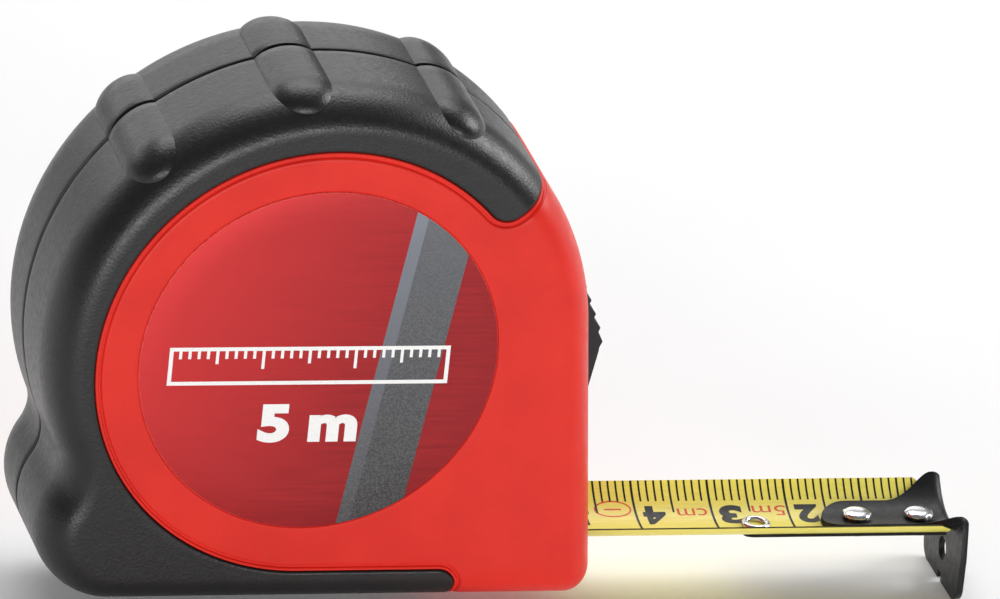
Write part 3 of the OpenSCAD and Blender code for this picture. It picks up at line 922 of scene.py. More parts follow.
FAR_EDGE = BLADE_W / 2
TICK_MM = (3.05, 0.25)
TICK_HALF_CM = (4.9, 0.27)
TICK_CM = (15.2, 0.31)
DIGIT_H = 3.6
DIGIT_W = 2.95
DIGIT_Y = FAR_EDGE - 5.6


def blade_print():
    """Black scale and numbers, and the red marks between them."""
    black, red = [], []
    last = int(ZERO_X - BLADE_LOW[0])
    for mm in range(3, last):
        length, width = TICK_CM if mm % 10 == 0 else TICK_HALF_CM if mm % 5 == 0 else TICK_MM
        black.append(flat_box(ZERO_X - mm, FAR_EDGE - length, FAR_EDGE - 0.12, width))
    for cm in range(2, last // 10 + 1):
        x = ZERO_X - 10 * cm
        black.append(turned_text(str(cm), x + 2.4, DIGIT_Y, DIGIT_H, DIGIT_W, 0.05))
        if cm in (4, 6):
            red.append(turned_text("cm", x + 7.4, FAR_EDGE - 4.9, 1.3, 3.9))
        if cm == 3:
            red.append(turned_text("5m", x + 7.5, FAR_EDGE - 4.8, 1.75, 4.4))
    mark_x = ZERO_X - 42.9
    red.append(oval(mark_x, FAR_EDGE - 4.3, 2.45, 1.4, 0.22))
    red.append(flat_box(mark_x, FAR_EDGE - 4.42, FAR_EDGE - 4.18, 2.2))
    return printed("scale_print", black), printed("red_print", red, -0.004)


HOOK_T = 0.8
HOOK_GAP = 0.05
HOOK_HALF_W = box_mm("end_hook")[1][1]
HOOK_LOW = box_mm("end_hook")[0][2]
HOOK_BACK = box_mm("end_hook")[0][0]
NECK_HALF_W = 3.7
FLARE_X = ZERO_X - 7.2
HORN_HALF_W = 7.0
BEND_R = 0.75
LOBE_R = 2.4


def hook_half_width(x):
    """Half the width of the hook's top: round end, straight neck and a flare to the full width."""
    round_x = HOOK_BACK + NECK_HALF_W
    if x < round_x:
        return math.sqrt(max(0.0, NECK_HALF_W ** 2 - (round_x - x) ** 2))
    if x < FLARE_X:
        return NECK_HALF_W
    t = min(1.0, (x - FLARE_X) / (ZERO_X - 0.6 - FLARE_X))
    return NECK_HALF_W + (HORN_HALF_W - NECK_HALF_W) * math.sin(0.5 * math.pi * t * t) ** 0.85


def hook_sheet():
    """Middle surface of the bent hook, as a grid from the neck's end over the bend and down the tab."""
    r = CUP_R - BLADE_T - HOOK_GAP - HOOK_T / 2
    tab_x = ZERO_X + HOOK_T / 2
    widest = math.asin(HORN_HALF_W / r)
    cols = np.sin(np.linspace(-0.5, 0.5, 45) * math.pi * 0.97) / math.sin(0.5 * math.pi * 0.97)
    xs = [HOOK_BACK + NECK_HALF_W * (1 - math.cos(a)) for a in np.linspace(0.12, math.pi / 2, 12)]
    xs += list(np.linspace(xs[-1], FLARE_X, 6)[1:])
    xs += list(np.linspace(FLARE_X, tab_x - BEND_R - 0.15, 18)[1:])
    rows = []
    for x in xs:
        a = cols * min(widest, math.asin(min(1.0, hook_half_width(x) / r)))
        rows.append(np.stack([np.full(len(a), x), r * np.sin(a), CUP_C - r * np.cos(a)], -1))
    a = cols * widest
    top = CUP_C - r * np.cos(a)
    y_top = r * np.sin(a)
    for t in np.linspace(0, math.pi / 2, 7):
        x = tab_x - BEND_R + BEND_R * math.sin(t)
        rows.append(np.stack([np.full(len(a), x), y_top, top - BEND_R * (1 - math.cos(t))], -1))
    y = cols * (HOOK_HALF_W - 0.05)
    lobe = np.maximum(np.abs(y) - (HOOK_HALF_W - LOBE_R), 0)
    bottom = HOOK_LOW + LOBE_R - np.sqrt(np.maximum(LOBE_R ** 2 - lobe ** 2, 0))
    start = top - BEND_R
    for t in np.linspace(0, 1, 12)[1:]:
        side = y_top + (y - y_top) * min(1.0, 2.0 * t)
        rows.append(np.stack([np.full(len(a), tab_x), side, start + (bottom - start) * t], -1))
    return np.stack(rows)


def end_hook():
    """The bent hook, with a round hole and a notch in its tab."""
    grid = hook_sheet()
    obj = to_object("hook", grid.reshape(-1, 3), grid_faces(*grid.shape[:2]))
    clean(obj)
    for _ in range(2):
        obj.data.materials.append(None)
    thicken_sheet(obj, HOOK_T, 1)
    tab = ZERO_X - 1
    hole = turned("hole", [(0, 0), (1.55, 0), (1.55, 3), (0, 3)], 40)
    hole.data.transform(Matrix.Translation((tab * MM, 0, (BLADE_LOW[2] - 3.3) * MM))
                        @ Matrix.Rotation(math.pi / 2, 4, "Y"))
    combine(obj, hole, "DIFFERENCE")
    notch = block("notch", [tab, -0.7, HOOK_LOW - 1], [tab + 4, 0.7, HOOK_LOW + 1.1])
    combine(obj, bevel(notch, 0.3, 3), "DIFFERENCE")
    return bevel(obj, 0.12, 2, 40, 1)


RIVET_X = [ZERO_X - 3.7, ZERO_X - 11.85]
EYELET_X = ZERO_X - 25


def rivet(x, wobble):
    """A rivet: tail under the plate, shank, and a domed head whose rim is a little uneven."""
    low, high = box_mm("hook_rivets")[0][2], box_mm("hook_rivets")[1][2]
    head, rim = high - 0.9, 1.85
    dome = [(rim * math.cos(t) ** 0.7, head + 0.28 + (high - head - 0.28) * math.sin(t))
            for t in np.linspace(0, math.pi / 2, 9)]
    shape = [(0, low), (1.35, low), (1.6, low + 0.15), (1.6, low + 0.4), (1.18, low + 0.45), (1.18, head)]
    shape += [(rim - 0.12, head), (rim, head + 0.1)] + dome[:-1] + [(0, high)]
    obj = turned("rivet", shape, 56)
    for v in obj.data.vertices:
        r, turn = math.hypot(v.co.x, v.co.y) / MM, math.atan2(v.co.y, v.co.x)
        if r > rim - 0.2 and v.co.z / MM > head - 0.05:
            ripple = 0.05 * math.sin(7 * turn + wobble) + 0.035 * math.sin(13 * turn + 2 * wobble)
            v.co.x *= 1 + ripple * 0.35
            v.co.y *= 1 + ripple * 0.35
            v.co.z += ripple * MM * 0.8
        v.co.x += x * MM
    return obj


def eyelet():
    """Rolled eyelet: a round lip above the blade and a smaller one under the plate."""
    low, high = box_mm("eyelet")[0][2], box_mm("eyelet")[1][2]
    lip_r, centre_r = 0.44, 1.46
    shape = [(1.2, low + 0.5), (1.5, low + 0.4), (1.6, low + 0.15), (1.35, low), (1.0, low + 0.05), (0.9, low + 0.5)]
    shape += [(centre_r + lip_r * math.cos(t), high - lip_r + lip_r * math.sin(t))
              for t in np.linspace(math.pi * 1.12, -0.42 * math.pi, 18)]
    shape += [(1.2, high - 2 * lip_r + 0.08)]
    count = 56
    faces = grid_faces(len(shape), count, closed=True)
    last = (len(shape) - 1) * count
    faces += [(last + k, last + (k + 1) % count, (k + 1) % count, k) for k in range(count)]
    return clean(to_object("blade_eyelet", ring_points(shape, count, EYELET_X), faces), 1e-7)


def merged(name, objects):
    """Joins loose solids of one piece into one object."""
    bm = bmesh.new()
    for obj in objects:
        bm.from_mesh(obj.data)
        bpy.data.objects.remove(obj)
    return from_bmesh(name, bm)


# ---------------------------------------------------------------------------------------------
# Lock button, mouth liner, label, belt clip and its screw
# ---------------------------------------------------------------------------------------------
def prism(name, outline, y0, y1):
    """A flat (x, z) outline given thickness along Y."""
    n = len(outline)
    points = [[p[0], y, p[1]] for y in (y0, y1) for p in outline]
    faces = [(k, (k + 1) % n, n + (k + 1) % n, n + k) for k in range(n)]
    faces += [tuple(reversed(range(n))), tuple(range(n, 2 * n))]
    return clean(to_object(name, points, faces), 1e-7)


BUTTON_HALF_W = 6.0
BUTTON_HALF_L = 8.0
BUTTON_PEAK = 3.1


def lock_button():
    """Thumb button: a smooth lower ramp, and steps up its upper flank with a saw-tooth section."""
    gap, steps, peak_z = 0.3, 4, -0.4
    outline = [(gap, -BUTTON_HALF_L), (gap + 0.5, -BUTTON_HALF_L), (BUTTON_PEAK - 0.5, -1.6),
               (BUTTON_PEAK - 0.42, -1.1), (BUTTON_PEAK, peak_z)]
    rise = (BUTTON_HALF_L - 0.6 - peak_z) / steps
    fall = (BUTTON_PEAK - gap - 0.5) / steps
    for k in range(steps):
        z, x = peak_z + k * rise, BUTTON_PEAK - (k + 1) * fall
        outline += [(x + 0.02, z + 0.72 * rise), (x + 0.3, z + rise)]
    outline += [(gap, BUTTON_HALF_L)]
    obj = prism("thumb_button", outline, -BUTTON_HALF_W, BUTTON_HALF_W)
    neck = block("neck", [-2.5, -2.4, -3], [gap + 0.1, 2.4, 3])
    bevel(obj, 0.13, 2, 20)
    combine(obj, neck, "UNION")
    obj.data.transform(front_frame())
    return obj


def mouth_liner():
    """Lining of the blade's mouth, cut to the case's rounded front."""
    low, high = box_mm("mouth_liner")
    obj = block("blade_mouth", low, high)
    hole = block("hole", [low[0] - 1, low[1] + 1.2, low[2] + 0.7], [high[0] + 1, high[1] - 1.2, high[2] - 0.8])
    combine(obj, bevel(hole, 0.6, 4), "DIFFERENCE")
    s = np.linspace(STARTS[3] + 20, STARTS[6], 90)
    place, across, _ = outline_at(s)
    rim = place - 0.15 * across
    keep = prism("keep", [tuple(p) for p in rim] + [(0, rim[-1][1])], -20, 20)
    combine(obj, keep, "INTERSECT")
    return bevel(obj, 0.15, 2, 40)


def label_foil():
    """Label: a thin disc with a rolled edge, just proud of the face."""
    top, low = 0.06, -RECESS_DEEP + 0.01
    shape = [(0, low), (LABEL_R, low), (LABEL_R, top - 0.06), (LABEL_R - 0.03, top - 0.015),
             (LABEL_R - 0.1, top), (LABEL_R - 4, top), (0, top)]
    obj = turned("label_foil", shape, 160)
    obj.data.transform(Matrix.Translation((0, -HALF_T * MM, AXIS_H * MM)) @ Matrix.Rotation(math.pi / 2, 4, "X"))
    return obj


def label_print():
    """Generic print of the label: a ruler sign and the blade's length."""
    pieces = []

    def put(points, faces, x, z):
        pieces.append((np.asarray(points) + [x, z], faces))

    long, high, line = 35.0, 4.6, 0.5
    x0, z0 = -1.2, -0.6
    for z in (-high / 2, high / 2):
        put(*flat_box(0, -line / 2, line / 2, long + line), x0, z0 + z)
    for x in (-long / 2, long / 2):
        put(*flat_box(0, (line - high) / 2, (high - line) / 2, line), x0 + x, z0)
    step = long / 30
    for k in range(1, 30):
        tall = 2.7 if k % 10 == 0 else 2.0 if k % 5 == 0 else 1.3
        put(*flat_box(0, high / 2 - tall, (high - line) / 2, 0.38), x0 + (k - 15) * step, z0)
    put(*flat_text("5 m", 5.2, 12.6, 0.05), -0.6, -8.4)
    bm = flat_bmesh(pieces, lambda p: (p[0], 0, p[1]))
    for v in thickened(bm):
        v.co.y = -0.02
    bmesh.ops.recalc_face_normals(bm, faces=bm.faces)
    for v in bm.verts:
        v.co = (v.co.x * MM, (v.co.y - HALF_T - 0.055) * MM, (v.co.z + AXIS_H) * MM)
    return from_bmesh("label_print", bm)


CLIP_T = 0.9
CLIP_GAP = 4.5
CLIP_TOP = AXIS_H + 14
CLIP_SCREW_H = AXIS_H + 8.5
CLIP_CORNER_R = 2.5
CLIP_LOW, CLIP_HIGH = box_mm("clip_base")
ARM_LOW = box_mm("clip_arm")[0]


def belt_clip():
    """One sprung strip: plate on the case, bend over the top, and an arm with an inward catch."""
    half_w, mid = CLIP_HIGH[0], FAR_T + CLIP_T / 2
    bend_r = (CLIP_GAP + CLIP_T) / 2
    arm_y = mid + 2 * bend_r
    path = [(mid, z) for z in np.linspace(CLIP_LOW[2], CLIP_TOP, 14)]
    path += [(mid + bend_r - bend_r * math.cos(a), CLIP_TOP + bend_r * math.sin(a))
             for a in np.linspace(0, math.pi, 17)[1:]]
    catch_z, depth, run = ARM_LOW[2] + 4.2, 1.5, 5.2
    for z in np.linspace(CLIP_TOP, ARM_LOW[2] + 0.25, 44)[1:]:
        t = max(-1.0, min(1.0, (z - catch_z) / run))
        path.append((arm_y - depth * 0.5 * (1 + math.cos(math.pi * t)), z))
    path = np.array(path)
    n = len(path)
    run_in = np.concatenate([[0.0], np.cumsum(np.linalg.norm(np.diff(path, axis=0), axis=1))])

    def row(spot, gap):
        """Points across the strip at a distance from its end, where the corners are rounded."""
        short = max(0.0, CLIP_CORNER_R - gap)
        half = half_w - (CLIP_CORNER_R - math.sqrt(CLIP_CORNER_R ** 2 - short ** 2))
        return [[x * half, spot[0], spot[1]] for x in np.linspace(-1, 1, 13)]

    rows = [row(path[k], min(run_in[k], run_in[-1] - run_in[k])) for k in range(n)]
    extra = []
    for end, sign in ((0, 1), (n - 1, -1)):
        step = path[end + sign] - path[end]
        for t in (0.08, 0.25, 0.5, 0.75):
            extra.append((end, row(path[end] + t * step, t * np.linalg.norm(step))))
    grid = rows[:1] + [r for e, r in extra if e == 0] + rows[1:-1]
    grid += [r for e, r in reversed(extra) if e] + rows[-1:]
    grid = np.array(grid)
    obj = to_object("belt_clip", grid.reshape(-1, 3), grid_faces(*grid.shape[:2]))
    thicken_sheet(obj, CLIP_T)
    clean(obj, 1e-6)
    combine(obj, cross_pin("hole", (0, CLIP_SCREW_H), 1.5, FAR_T - 1, FAR_T + 2), "DIFFERENCE")
    return bevel(obj, 0.16, 2, 40)


def clip_screw():
    """Pan-head screw with a cross recess."""
    low, high = box_mm("clip_screw")
    head, r = FAR_T + CLIP_T, high[0]
    shape = [(0, low[1]), (1.5, low[1]), (1.5, head), (r - 0.1, head), (r, head + 0.12)]
    shape += [(r * math.cos(t), head + 0.3 + (high[1] - head - 0.3) * math.sin(t))
              for t in np.linspace(0.25, math.pi / 2, 9)[:-1]] + [(0, high[1])]
    obj = turned("belt_clip_screw", shape, 56)
    for a, b in ((1.7, 0.36), (0.36, 1.7)):
        combine(obj, bevel(block("slot", [-a, -b, high[1] - 0.75], [a, b, high[1] + 1]), 0.12, 2), "DIFFERENCE")
    obj.data.transform(Matrix.Translation((0, 0, CLIP_SCREW_H * MM)) @ Matrix.Rotation(-math.pi / 2, 4, "X"))
    return obj


# ---------------------------------------------------------------------------------------------
# Materials
# ---------------------------------------------------------------------------------------------
def paint(red, green, blue):
    """Linear colour from screen values of 0 to 255."""
    return tuple(c / 12.92 if c <= 0.04045 else ((c + 0.055) / 1.055) ** 2.4
                 for c in (red / 255, green / 255, blue / 255)) + (1.0,)


class Look:
    """A node material being built. Socket values given by keyword are the same all over the surface."""

    def __init__(self, name, **values):
        self.material = bpy.data.materials.new(name)
        self.material.use_nodes = True
        self.tree = self.material.node_tree
        self.tree.nodes.clear()
        self.shader = self.node("ShaderNodeBsdfPrincipled")
        out = self.node("ShaderNodeOutputMaterial")
        self.tree.links.new(self.shader.outputs["BSDF"], out.inputs["Surface"])
        for socket, value in values.items():
            self.shader.inputs[socket.replace("_", " ")].default_value = value
        self.place = self.node("ShaderNodeTexCoord").outputs["Object"]

    def node(self, kind, **settings):
        """A new node with some settings."""
        made = self.tree.nodes.new(kind)
        for key, value in settings.items():
            setattr(made, key, value)
        return made

    def feed(self, socket, value):
        """Links a socket to another node's output, or sets it to a plain value."""
        if isinstance(value, bpy.types.NodeSocket):
            self.tree.links.new(value, socket)
        else:
            socket.default_value = value

    def to(self, socket, value):
        """Feeds a socket of the shader."""
        self.feed(self.shader.inputs[socket], value)

    def noise(self, size_mm, detail=3.0, stretch=(1, 1, 1), rough=0.5):
        """Noise with features of a size, drawn out along the axes by stretch."""
        spread = self.node("ShaderNodeMapping")
        self.feed(spread.inputs["Vector"], self.place)
        spread.inputs["Scale"].default_value = [1 / k for k in stretch]
        made = self.node("ShaderNodeTexNoise")
        self.feed(made.inputs["Vector"], spread.outputs["Vector"])
        made.inputs["Scale"].default_value = 1 / (size_mm * MM)
        made.inputs["Detail"].default_value = detail
        made.inputs["Roughness"].default_value = rough
        return made.outputs["Fac"]

    def cells(self, size_mm):
        """Distance to the nearest of many scattered points, for grain."""
        made = self.node("ShaderNodeTexVoronoi")
        self.feed(made.inputs["Vector"], self.place)
        made.inputs["Scale"].default_value = 1 / (size_mm * MM)
        return made.outputs["Distance"]

    def axis(self, name):
        """Place along one axis, in metres."""
        made = self.node("ShaderNodeSeparateXYZ")
        self.feed(made.inputs["Vector"], self.place)
        return made.outputs[name]

    def span(self, value, low, high, first=0.0, last=1.0):
        """Moves low..high to first..last, and clips it."""
        made = self.node("ShaderNodeMapRange")
        for socket, x in zip(("Value", "From Min", "From Max", "To Min", "To Max"), (value, low, high, first, last)):
            self.feed(made.inputs[socket], x)
        return made.outputs["Result"]

    def maths(self, operation, a, b=0.0):
        """Sum, product or the like of two values."""
        made = self.node("ShaderNodeMath", operation=operation)
        self.feed(made.inputs[0], a)
        self.feed(made.inputs[1], b)
        return made.outputs["Value"]

    def blend(self, share, a, b):
        """Colour between a and b."""
        made = self.node("ShaderNodeMix", data_type="RGBA")
        self.feed(made.inputs["Factor"], share)
        self.feed(made.inputs[6], a)
        self.feed(made.inputs[7], b)
        return made.outputs[2]

    def bump(self, height, depth_mm, before=None):
        """Relief of a depth, on top of the relief made before."""
        made = self.node("ShaderNodeBump")
        self.feed(made.inputs["Height"], height)
        made.inputs["Distance"].default_value = depth_mm * MM
        made.inputs["Strength"].default_value = 1.0
        if before is not None:
            self.feed(made.inputs["Normal"], before)
        self.feed(self.shader.inputs["Normal"], made.outputs["Normal"])
        return made.outputs["Normal"]


def red_plastic():
    """Moulded satin plastic: slight flow marks in the colour, fine orange peel, a few dull spots."""
    look = Look("red_plastic", Specular_IOR_Level=0.3)
    drift, fleck = look.noise(9, 3), look.noise(0.35, 3)
    base = look.blend(look.span(drift, 0.3, 0.7), paint(212, 38, 27), paint(224, 44, 31))
    look.to("Base Color", look.blend(look.span(fleck, 0.62, 0.75, 0, 0.25), base, paint(190, 30, 26)))
    look.to("Roughness", look.span(look.noise(1.4, 4), 0.3, 0.7, 0.34, 0.46))
    first = look.bump(look.noise(0.16, 2), 0.006)
    look.bump(look.noise(1.1, 2), 0.012, first)
    return look.material


def black_rubber():
    """Soft overmould: pebbled grain, dusty lighter specks, uneven sheen."""
    look = Look("black_rubber", Specular_IOR_Level=0.55)
    drift, dust = look.noise(6, 4), look.noise(0.3, 4, rough=0.7)
    base = look.blend(look.span(drift, 0.3, 0.7), paint(10, 10, 11), paint(17, 17, 18))
    look.to("Base Color", look.blend(look.span(dust, 0.55, 0.75, 0, 0.5), base, paint(38, 38, 38)))
    look.to("Roughness", look.span(look.noise(0.8, 4), 0.3, 0.7, 0.34, 0.44))
    first = look.bump(look.cells(0.34), 0.022)
    look.bump(look.noise(0.9, 3), 0.012, first)
    return look.material


BAND_X, BAND_HALF, BAND_LEAN = 11.5, 3.9, 0.15


def label_foil_look():
    """Brushed red film, painted darker to the right and towards the bottom as a painted reflection, with a plain
    slanted grey band.
    """
    look = Look("label_foil", Metallic=0.55, Specular_IOR_Level=0.5)
    x, z = look.axis("X"), look.axis("Z")
    streak = look.noise(0.35, 4, (30, 1, 1), 0.6)
    speck = look.noise(0.2, 2)
    # Painted reflection: the film's red is painted darker to the right and towards the bottom, standing in for the
    # light the foil reflects.
    reflection_sweep = look.span(look.maths("ADD", x, look.maths("MULTIPLY", z, -0.35)), -0.034, -0.001)
    red = look.blend(reflection_sweep, paint(206, 50, 51), paint(142, 30, 35))
    red = look.blend(look.span(streak, 0.35, 0.65, 0, 0.3), red, paint(200, 44, 46))
    lean = look.maths("MULTIPLY", look.maths("SUBTRACT", z, AXIS_H * MM), BAND_LEAN)
    off = look.maths("SUBTRACT", look.maths("SUBTRACT", x, BAND_X * MM), lean)
    band = look.span(look.maths("ABSOLUTE", off), BAND_HALF * MM, (BAND_HALF + 0.06) * MM, 1.0, 0.0)
    edge = look.span(off, (-BAND_HALF + 1.55) * MM, (-BAND_HALF + 1.65) * MM)
    fall = look.span(z, (AXIS_H - 18) * MM, (AXIS_H + 18) * MM)
    dark = look.blend(fall, paint(66, 66, 67), paint(98, 100, 105))
    light = look.blend(fall, paint(84, 85, 88), paint(126, 131, 142))
    grey = look.blend(edge, light, dark)
    grey = look.blend(look.span(speck, 0.4, 0.65, 0, 0.45), grey, paint(124, 124, 124))
    look.to("Base Color", look.blend(band, red, grey))
    look.to("Roughness", look.span(streak, 0.35, 0.65, 0.34, 0.46))
    look.bump(streak, 0.004)
    return look.material


def label_edge_look():
    """Cut edge of the film."""
    look = Look("label_edge", Metallic=0.3)
    look.to("Base Color", look.blend(look.span(look.noise(0.5, 2), 0.35, 0.65),
                                     paint(250, 150, 140), paint(225, 90, 84)))
    look.to("Roughness", look.span(look.noise(0.8, 2), 0.3, 0.7, 0.3, 0.5))
    return look.material


def ink(name, colour, worn):
    """Print: slightly uneven and worn where noise is high."""
    look = Look(name, Specular_IOR_Level=0.4)
    look.to("Base Color", look.blend(look.span(look.noise(0.25, 4), 0.55, 0.8, 0, 0.7), colour, worn))
    look.to("Roughness", look.span(look.noise(0.4, 2), 0.3, 0.7, 0.35, 0.55))
    return look.material


def blade_yellow():
    """Enamel on the blade: faint rubbing marks along its length and tiny chips."""
    look = Look("blade_paint", Specular_IOR_Level=0.5)
    rub, chip = look.noise(0.3, 4, (14, 1, 1), 0.6), look.noise(0.22, 3)
    base = look.blend(look.span(rub, 0.35, 0.7), paint(246, 235, 110), paint(238, 224, 99))
    look.to("Base Color", look.blend(look.span(chip, 0.68, 0.8, 0, 0.5), base, paint(150, 138, 70)))
    look.to("Roughness", look.span(rub, 0.3, 0.7, 0.3, 0.44))
    look.bump(rub, 0.003)
    return look.material


def steel(name, dark, light, rough=(0.25, 0.42), metallic=1.0, marks=(1, 1, 6)):
    """Bare or treated steel with fine machining marks and stains."""
    look = Look(name, Metallic=metallic)
    mark, stain = look.noise(0.12, 3, marks), look.noise(2.2, 4)
    look.to("Base Color", look.blend(look.span(stain, 0.3, 0.7), dark, light))
    look.to("Roughness", look.span(mark, 0.3, 0.7, *rough))
    look.bump(mark, 0.004)
    return look.material


def black_coat(name, worn):
    """Black satin coating on steel. Worn shows more bare grey metal through it."""
    look = Look(name, Specular_IOR_Level=0.3)
    scuff, fine = look.noise(0.9, 5, rough=0.65), look.noise(0.14, 3)
    low = 0.40 if worn else 0.66
    bare = look.span(scuff, low, low + 0.12, 0, 0.9 if worn else 0.55)
    base = look.blend(look.span(fine, 0.35, 0.65), paint(9, 9, 10), paint(18, 18, 20))
    look.to("Base Color", look.blend(bare, base, paint(120, 120, 122)))
    look.to("Metallic", look.span(bare, 0.0, 1.0, 0.0, 0.7))
    look.to("Roughness", look.span(scuff, 0.3, 0.7, 0.34, 0.52))
    first = look.bump(fine, 0.008)
    look.bump(scuff, 0.015, first)
    return look.material


def chrome():
    """Bright plating with fine turning marks and small dull patches."""
    look = Look("rivet_chrome", Metallic=1.0)
    patch = look.noise(0.5, 4)
    look.to("Base Color", look.blend(look.span(patch, 0.5, 0.75), paint(214, 214, 217), paint(180, 178, 176)))
    look.to("Roughness", look.span(patch, 0.35, 0.75, 0.2, 0.3))
    look.bump(look.noise(0.6, 2), 0.002)
    return look.material


def plain_moulding(name, dark, light, rough=(0.4, 0.55)):
    """Plain moulded plastic with a fine spark-eroded grain."""
    look = Look(name, Specular_IOR_Level=0.5)
    look.to("Base Color", look.blend(look.span(look.noise(1.5, 4), 0.3, 0.7), dark, light))
    look.to("Roughness", look.span(look.noise(0.6, 3), 0.3, 0.7, *rough))
    look.bump(look.noise(0.2, 2), 0.01)
    return look.material


def floor_look():
    """Plain pale floor."""
    look = Look("floor", Specular_IOR_Level=0.2)
    look.to("Base Color", look.blend(look.span(look.noise(60, 3), 0.3, 0.7),
                                     paint(246, 246, 246), paint(249, 249, 249)))
    look.to("Roughness", look.span(look.noise(20, 3), 0.3, 0.7, 0.75, 0.85))
    return look.material


RED = red_plastic()
RUBBER = black_rubber()
FOIL = label_foil_look()
FOIL_EDGE = label_edge_look()
WHITE_INK = ink("white_ink", paint(244, 244, 242), paint(222, 210, 208))
BLACK_INK = ink("black_ink", paint(8, 8, 8), paint(44, 42, 28))
RED_INK = ink("red_ink", paint(222, 78, 40), paint(226, 130, 70))
YELLOW = blade_yellow()
BLADE_EDGE = steel("blade_edge", paint(70, 68, 50), paint(110, 108, 90), (0.35, 0.5), 0.8)
HOOK_BLACK = black_coat("hook_steel", False)
HOOK_WORN = black_coat("hook_worn", True)
CLIP_BLACK = black_coat("clip_steel", False)
CHROME = chrome()
BLACK_PLASTIC = plain_moulding("black_plastic", paint(14, 14, 15), paint(22, 22, 23), (0.38, 0.52))
DARK_STEEL = steel("dark_steel", paint(58, 58, 61), paint(86, 86, 90))
PLAIN_STEEL = steel("plain_steel", paint(196, 197, 200), paint(214, 215, 218), (0.2, 0.35))
SPRING_STEEL = steel("spring_steel", paint(120, 126, 140), paint(160, 162, 166), (0.25, 0.4), 1.0, (1, 6, 1))
WHITE_PLASTIC = plain_moulding("white_plastic", paint(226, 225, 220), paint(236, 235, 230))
SPOOL_PLASTIC = plain_moulding("spool_plastic", paint(44, 44, 46), paint(56, 56, 58), (0.5, 0.62))


# ---------------------------------------------------------------------------------------------
# The tape measure
# ---------------------------------------------------------------------------------------------
def finish_piece(obj, name, body, nodes, materials, sharp=32):
    """Names, paints, shades and hands over one piece."""
    obj.name = obj.data.name = name
    smooth(obj, sharp)
    while len(obj.data.materials):
        obj.data.materials.pop()
    for material in materials:
        obj.data.materials.append(material)
    if nodes:
        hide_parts(*nodes)
    if body:
        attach(obj, body)
    return obj


def paint_faces(obj, index, wanted):
    """Gives the faces for which wanted(face) is true another material."""
    def work(bm):
        for face in bm.faces:
            if wanted(face):
                face.material_index = index
    return edit(obj, work)


def off_radial(face):
    """True for the thin edge faces of the cupped blade."""
    c = face.calc_center_median()
    ray = Vector((0, c.y, c.z - CUP_C * MM)).normalized()
    return abs(face.normal.dot(ray)) < 0.7


def build_tape():
    """Makes every visible piece, on its body, in place of its CAD nodes."""
    near, far = shell("red_half_near", -1), shell("red_half_far", 1)
    bore(far, 2.6, 3.4)
    finish_piece(near, "red_half_near", "case", ["near_shell"], [RED])
    finish_piece(far, "red_half_far", "case", ["far_shell"], [RED])
    near_grip, far_grip = grip("rubber_near", -1), bore(grip("rubber_far", 1), 2.8)
    finish_piece(near_grip, "rubber_near", "case", ["near_grip"], [RUBBER])
    finish_piece(far_grip, "rubber_far", "case", ["far_grip"], [RUBBER])

    foil = label_foil()
    paint_faces(foil, 1, lambda f: abs(f.normal.y) < 0.95)
    finish_piece(foil, "label_film", "case", ["face_label"], [FOIL, FOIL_EDGE])
    finish_piece(label_print(), "label_marks", "case", [], [WHITE_INK])
    finish_piece(mouth_liner(), "blade_mouth", "case", ["mouth_liner"], [BLACK_PLASTIC])

    strip = paint_faces(blade_strip(), 1, off_radial)
    finish_piece(strip, "blade_strip", "blade", ["blade"], [YELLOW, BLADE_EDGE])
    scale, red = blade_print()
    finish_piece(scale, "scale_print", "blade", [], [BLACK_INK])
    finish_piece(red, "red_print", "blade", [], [RED_INK])
    finish_piece(hook_plate(), "stiffening_plate", "blade", ["backing_plate"], [HOOK_BLACK])
    finish_piece(eyelet(), "blade_eyelet", "blade", ["eyelet"], [CHROME])
    rivets = merged("rivets", [rivet(x, 2.1 * k) for k, x in enumerate(RIVET_X)])
    finish_piece(rivets, "hook_rivet_pair", "blade", ["hook_rivets"], [CHROME])
    finish_piece(end_hook(), "bent_hook", "hook", ["end_hook"], [HOOK_BLACK, HOOK_WORN])

    finish_piece(lock_button(), "thumb_button", "lock", ["lock_button"], [BLACK_PLASTIC])
    finish_piece(clip_screw(), "belt_clip_screw", "case", ["clip_screw"], [DARK_STEEL])
    clip = belt_clip()
    finish_piece(clip, "belt_clip", None, ["clip_base", "clip_arm"], [CLIP_BLACK])
    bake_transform(clip)


def hook_plate():
    """Black plate riveted under the blade's end, with a tapered back end."""
    low, high = box_mm("backing_plate")
    taper = 3.0
    x = np.concatenate([low[0] + taper * (1 - np.cos(np.linspace(0.15, math.pi / 2, 9))),
                        np.linspace(low[0] + taper, high[0], 10)[1:]])
    reach = np.clip((x - low[0]) / taper, 0, 1)
    widest = math.asin(high[1] / (CUP_R + 0.4)) * (CUP_R + 0.4)
    half = widest * (0.45 + 0.55 * np.sqrt(np.maximum(0, 1 - (1 - reach) ** 2)))
    return cupped_strip("plate", x, half, CUP_R + 0.4, 0.4 - 0.01, 21)


CAD_LOOKS = {
    "arbor": PLAIN_STEEL, "spool_washers": WHITE_PLASTIC, "spool_drum": SPOOL_PLASTIC,
    "spool_cover": SPOOL_PLASTIC, "mainspring": SPRING_STEEL, "wound_blade": YELLOW,
    "lock_slider": SPOOL_PLASTIC, "brake_shoe": WHITE_PLASTIC, "brake_pads": RUBBER, "case_screws": DARK_STEEL,
}


def paint_cad():
    """Materials of the inner pieces that are shown as the CAD made them."""
    for name, material in CAD_LOOKS.items():
        mesh = frame["nodes"][name].data
        mesh.materials.clear()
        mesh.materials.append(material)


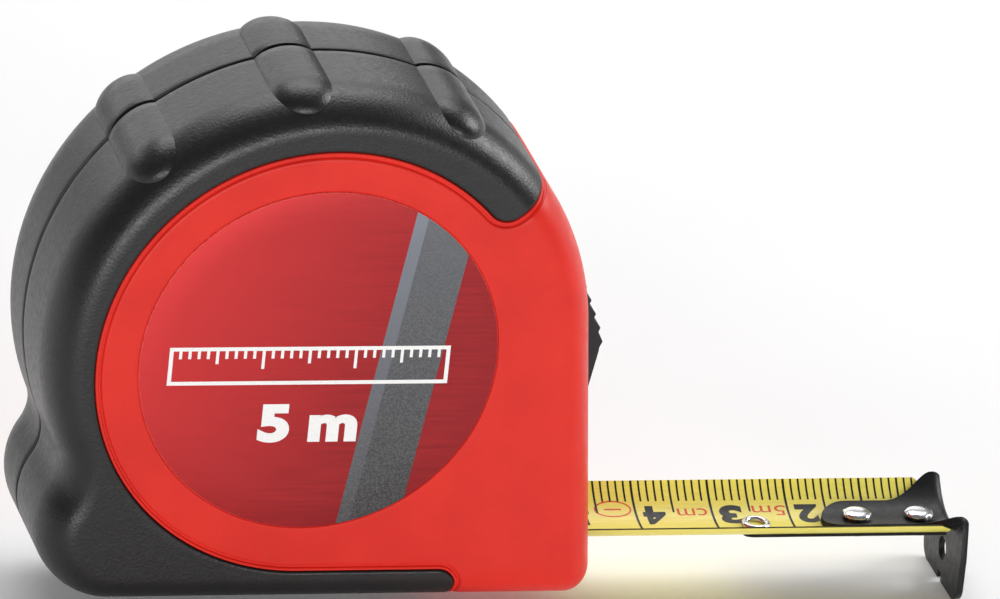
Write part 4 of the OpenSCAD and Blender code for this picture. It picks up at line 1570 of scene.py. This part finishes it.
# ---------------------------------------------------------------------------------------------
# Stage, light and camera
# ---------------------------------------------------------------------------------------------
def softbox(name, place, size, power):
    """A rectangular light turned towards the case."""
    light = bpy.data.lights.new(name, "AREA")
    light.shape, light.size, light.size_y, light.energy = "RECTANGLE", size[0], size[1], power
    obj = put_in_scene(name, light)
    to = Vector((0.0, 0.0, 0.03)) - Vector(place)
    obj.matrix_world = Matrix.Translation(place) @ to.to_track_quat("-Z", "Y").to_matrix().to_4x4()


def stage():
    """Floor at the hook's low end, lights and surroundings."""
    span, level = 4.0, HOOK_LOW * MM - 0.0001
    floor = to_object("floor", [[x / MM, y / MM, level / MM] for x, y in
                                ((-span, -span), (span, -span), (span, span), (-span, span))], [(0, 1, 2, 3)])
    floor.data.materials.append(floor_look())
    softbox("top_light", (0.1, 0.9, 1.3), (1.4, 0.8), 14)
    softbox("back_light", (-0.3, 1.5, 0.5), (2.2, 0.5), 8)
    softbox("front_light", (-0.3, -1.7, 0.15), (1.8, 0.5), 24)
    softbox("right_light", (1.4, 0.3, 0.8), (0.8, 0.8), 15)
    world = bpy.data.worlds.new("studio")
    world.use_nodes = True
    world.node_tree.nodes["Background"].inputs["Color"].default_value = (1.0, 1.0, 1.0, 1.0)
    world.node_tree.nodes["Background"].inputs["Strength"].default_value = 0.2
    bpy.context.scene.world = world
    bpy.context.scene.view_settings.view_transform = "Standard"


def camera():
    """Camera at the angle of a three-quarter product shot: long lens, slight roll."""
    around, above, roll = math.radians(-16.26), math.radians(23.70), math.radians(6.26)
    ahead = Vector((-math.sin(around) * math.cos(above), math.cos(around) * math.cos(above), -math.sin(above)))
    level = Vector((math.cos(around), math.sin(around), 0))
    upright = level.cross(ahead)
    right = math.cos(roll) * level + math.sin(roll) * upright
    up = math.cos(roll) * upright - math.sin(roll) * level
    data = bpy.data.cameras.new("camera")
    data.lens, data.sensor_width, data.sensor_fit, data.clip_start = 455.8, 36.0, "HORIZONTAL", 0.05
    obj = put_in_scene("camera", data)
    turn = Matrix((right, up, -ahead)).transposed().to_4x4()
    obj.matrix_world = Matrix.Translation((-0.3770, -1.3850, 0.6679)) @ turn
    bpy.context.scene.camera = obj


build_tape()
paint_cad()
stage()
camera()
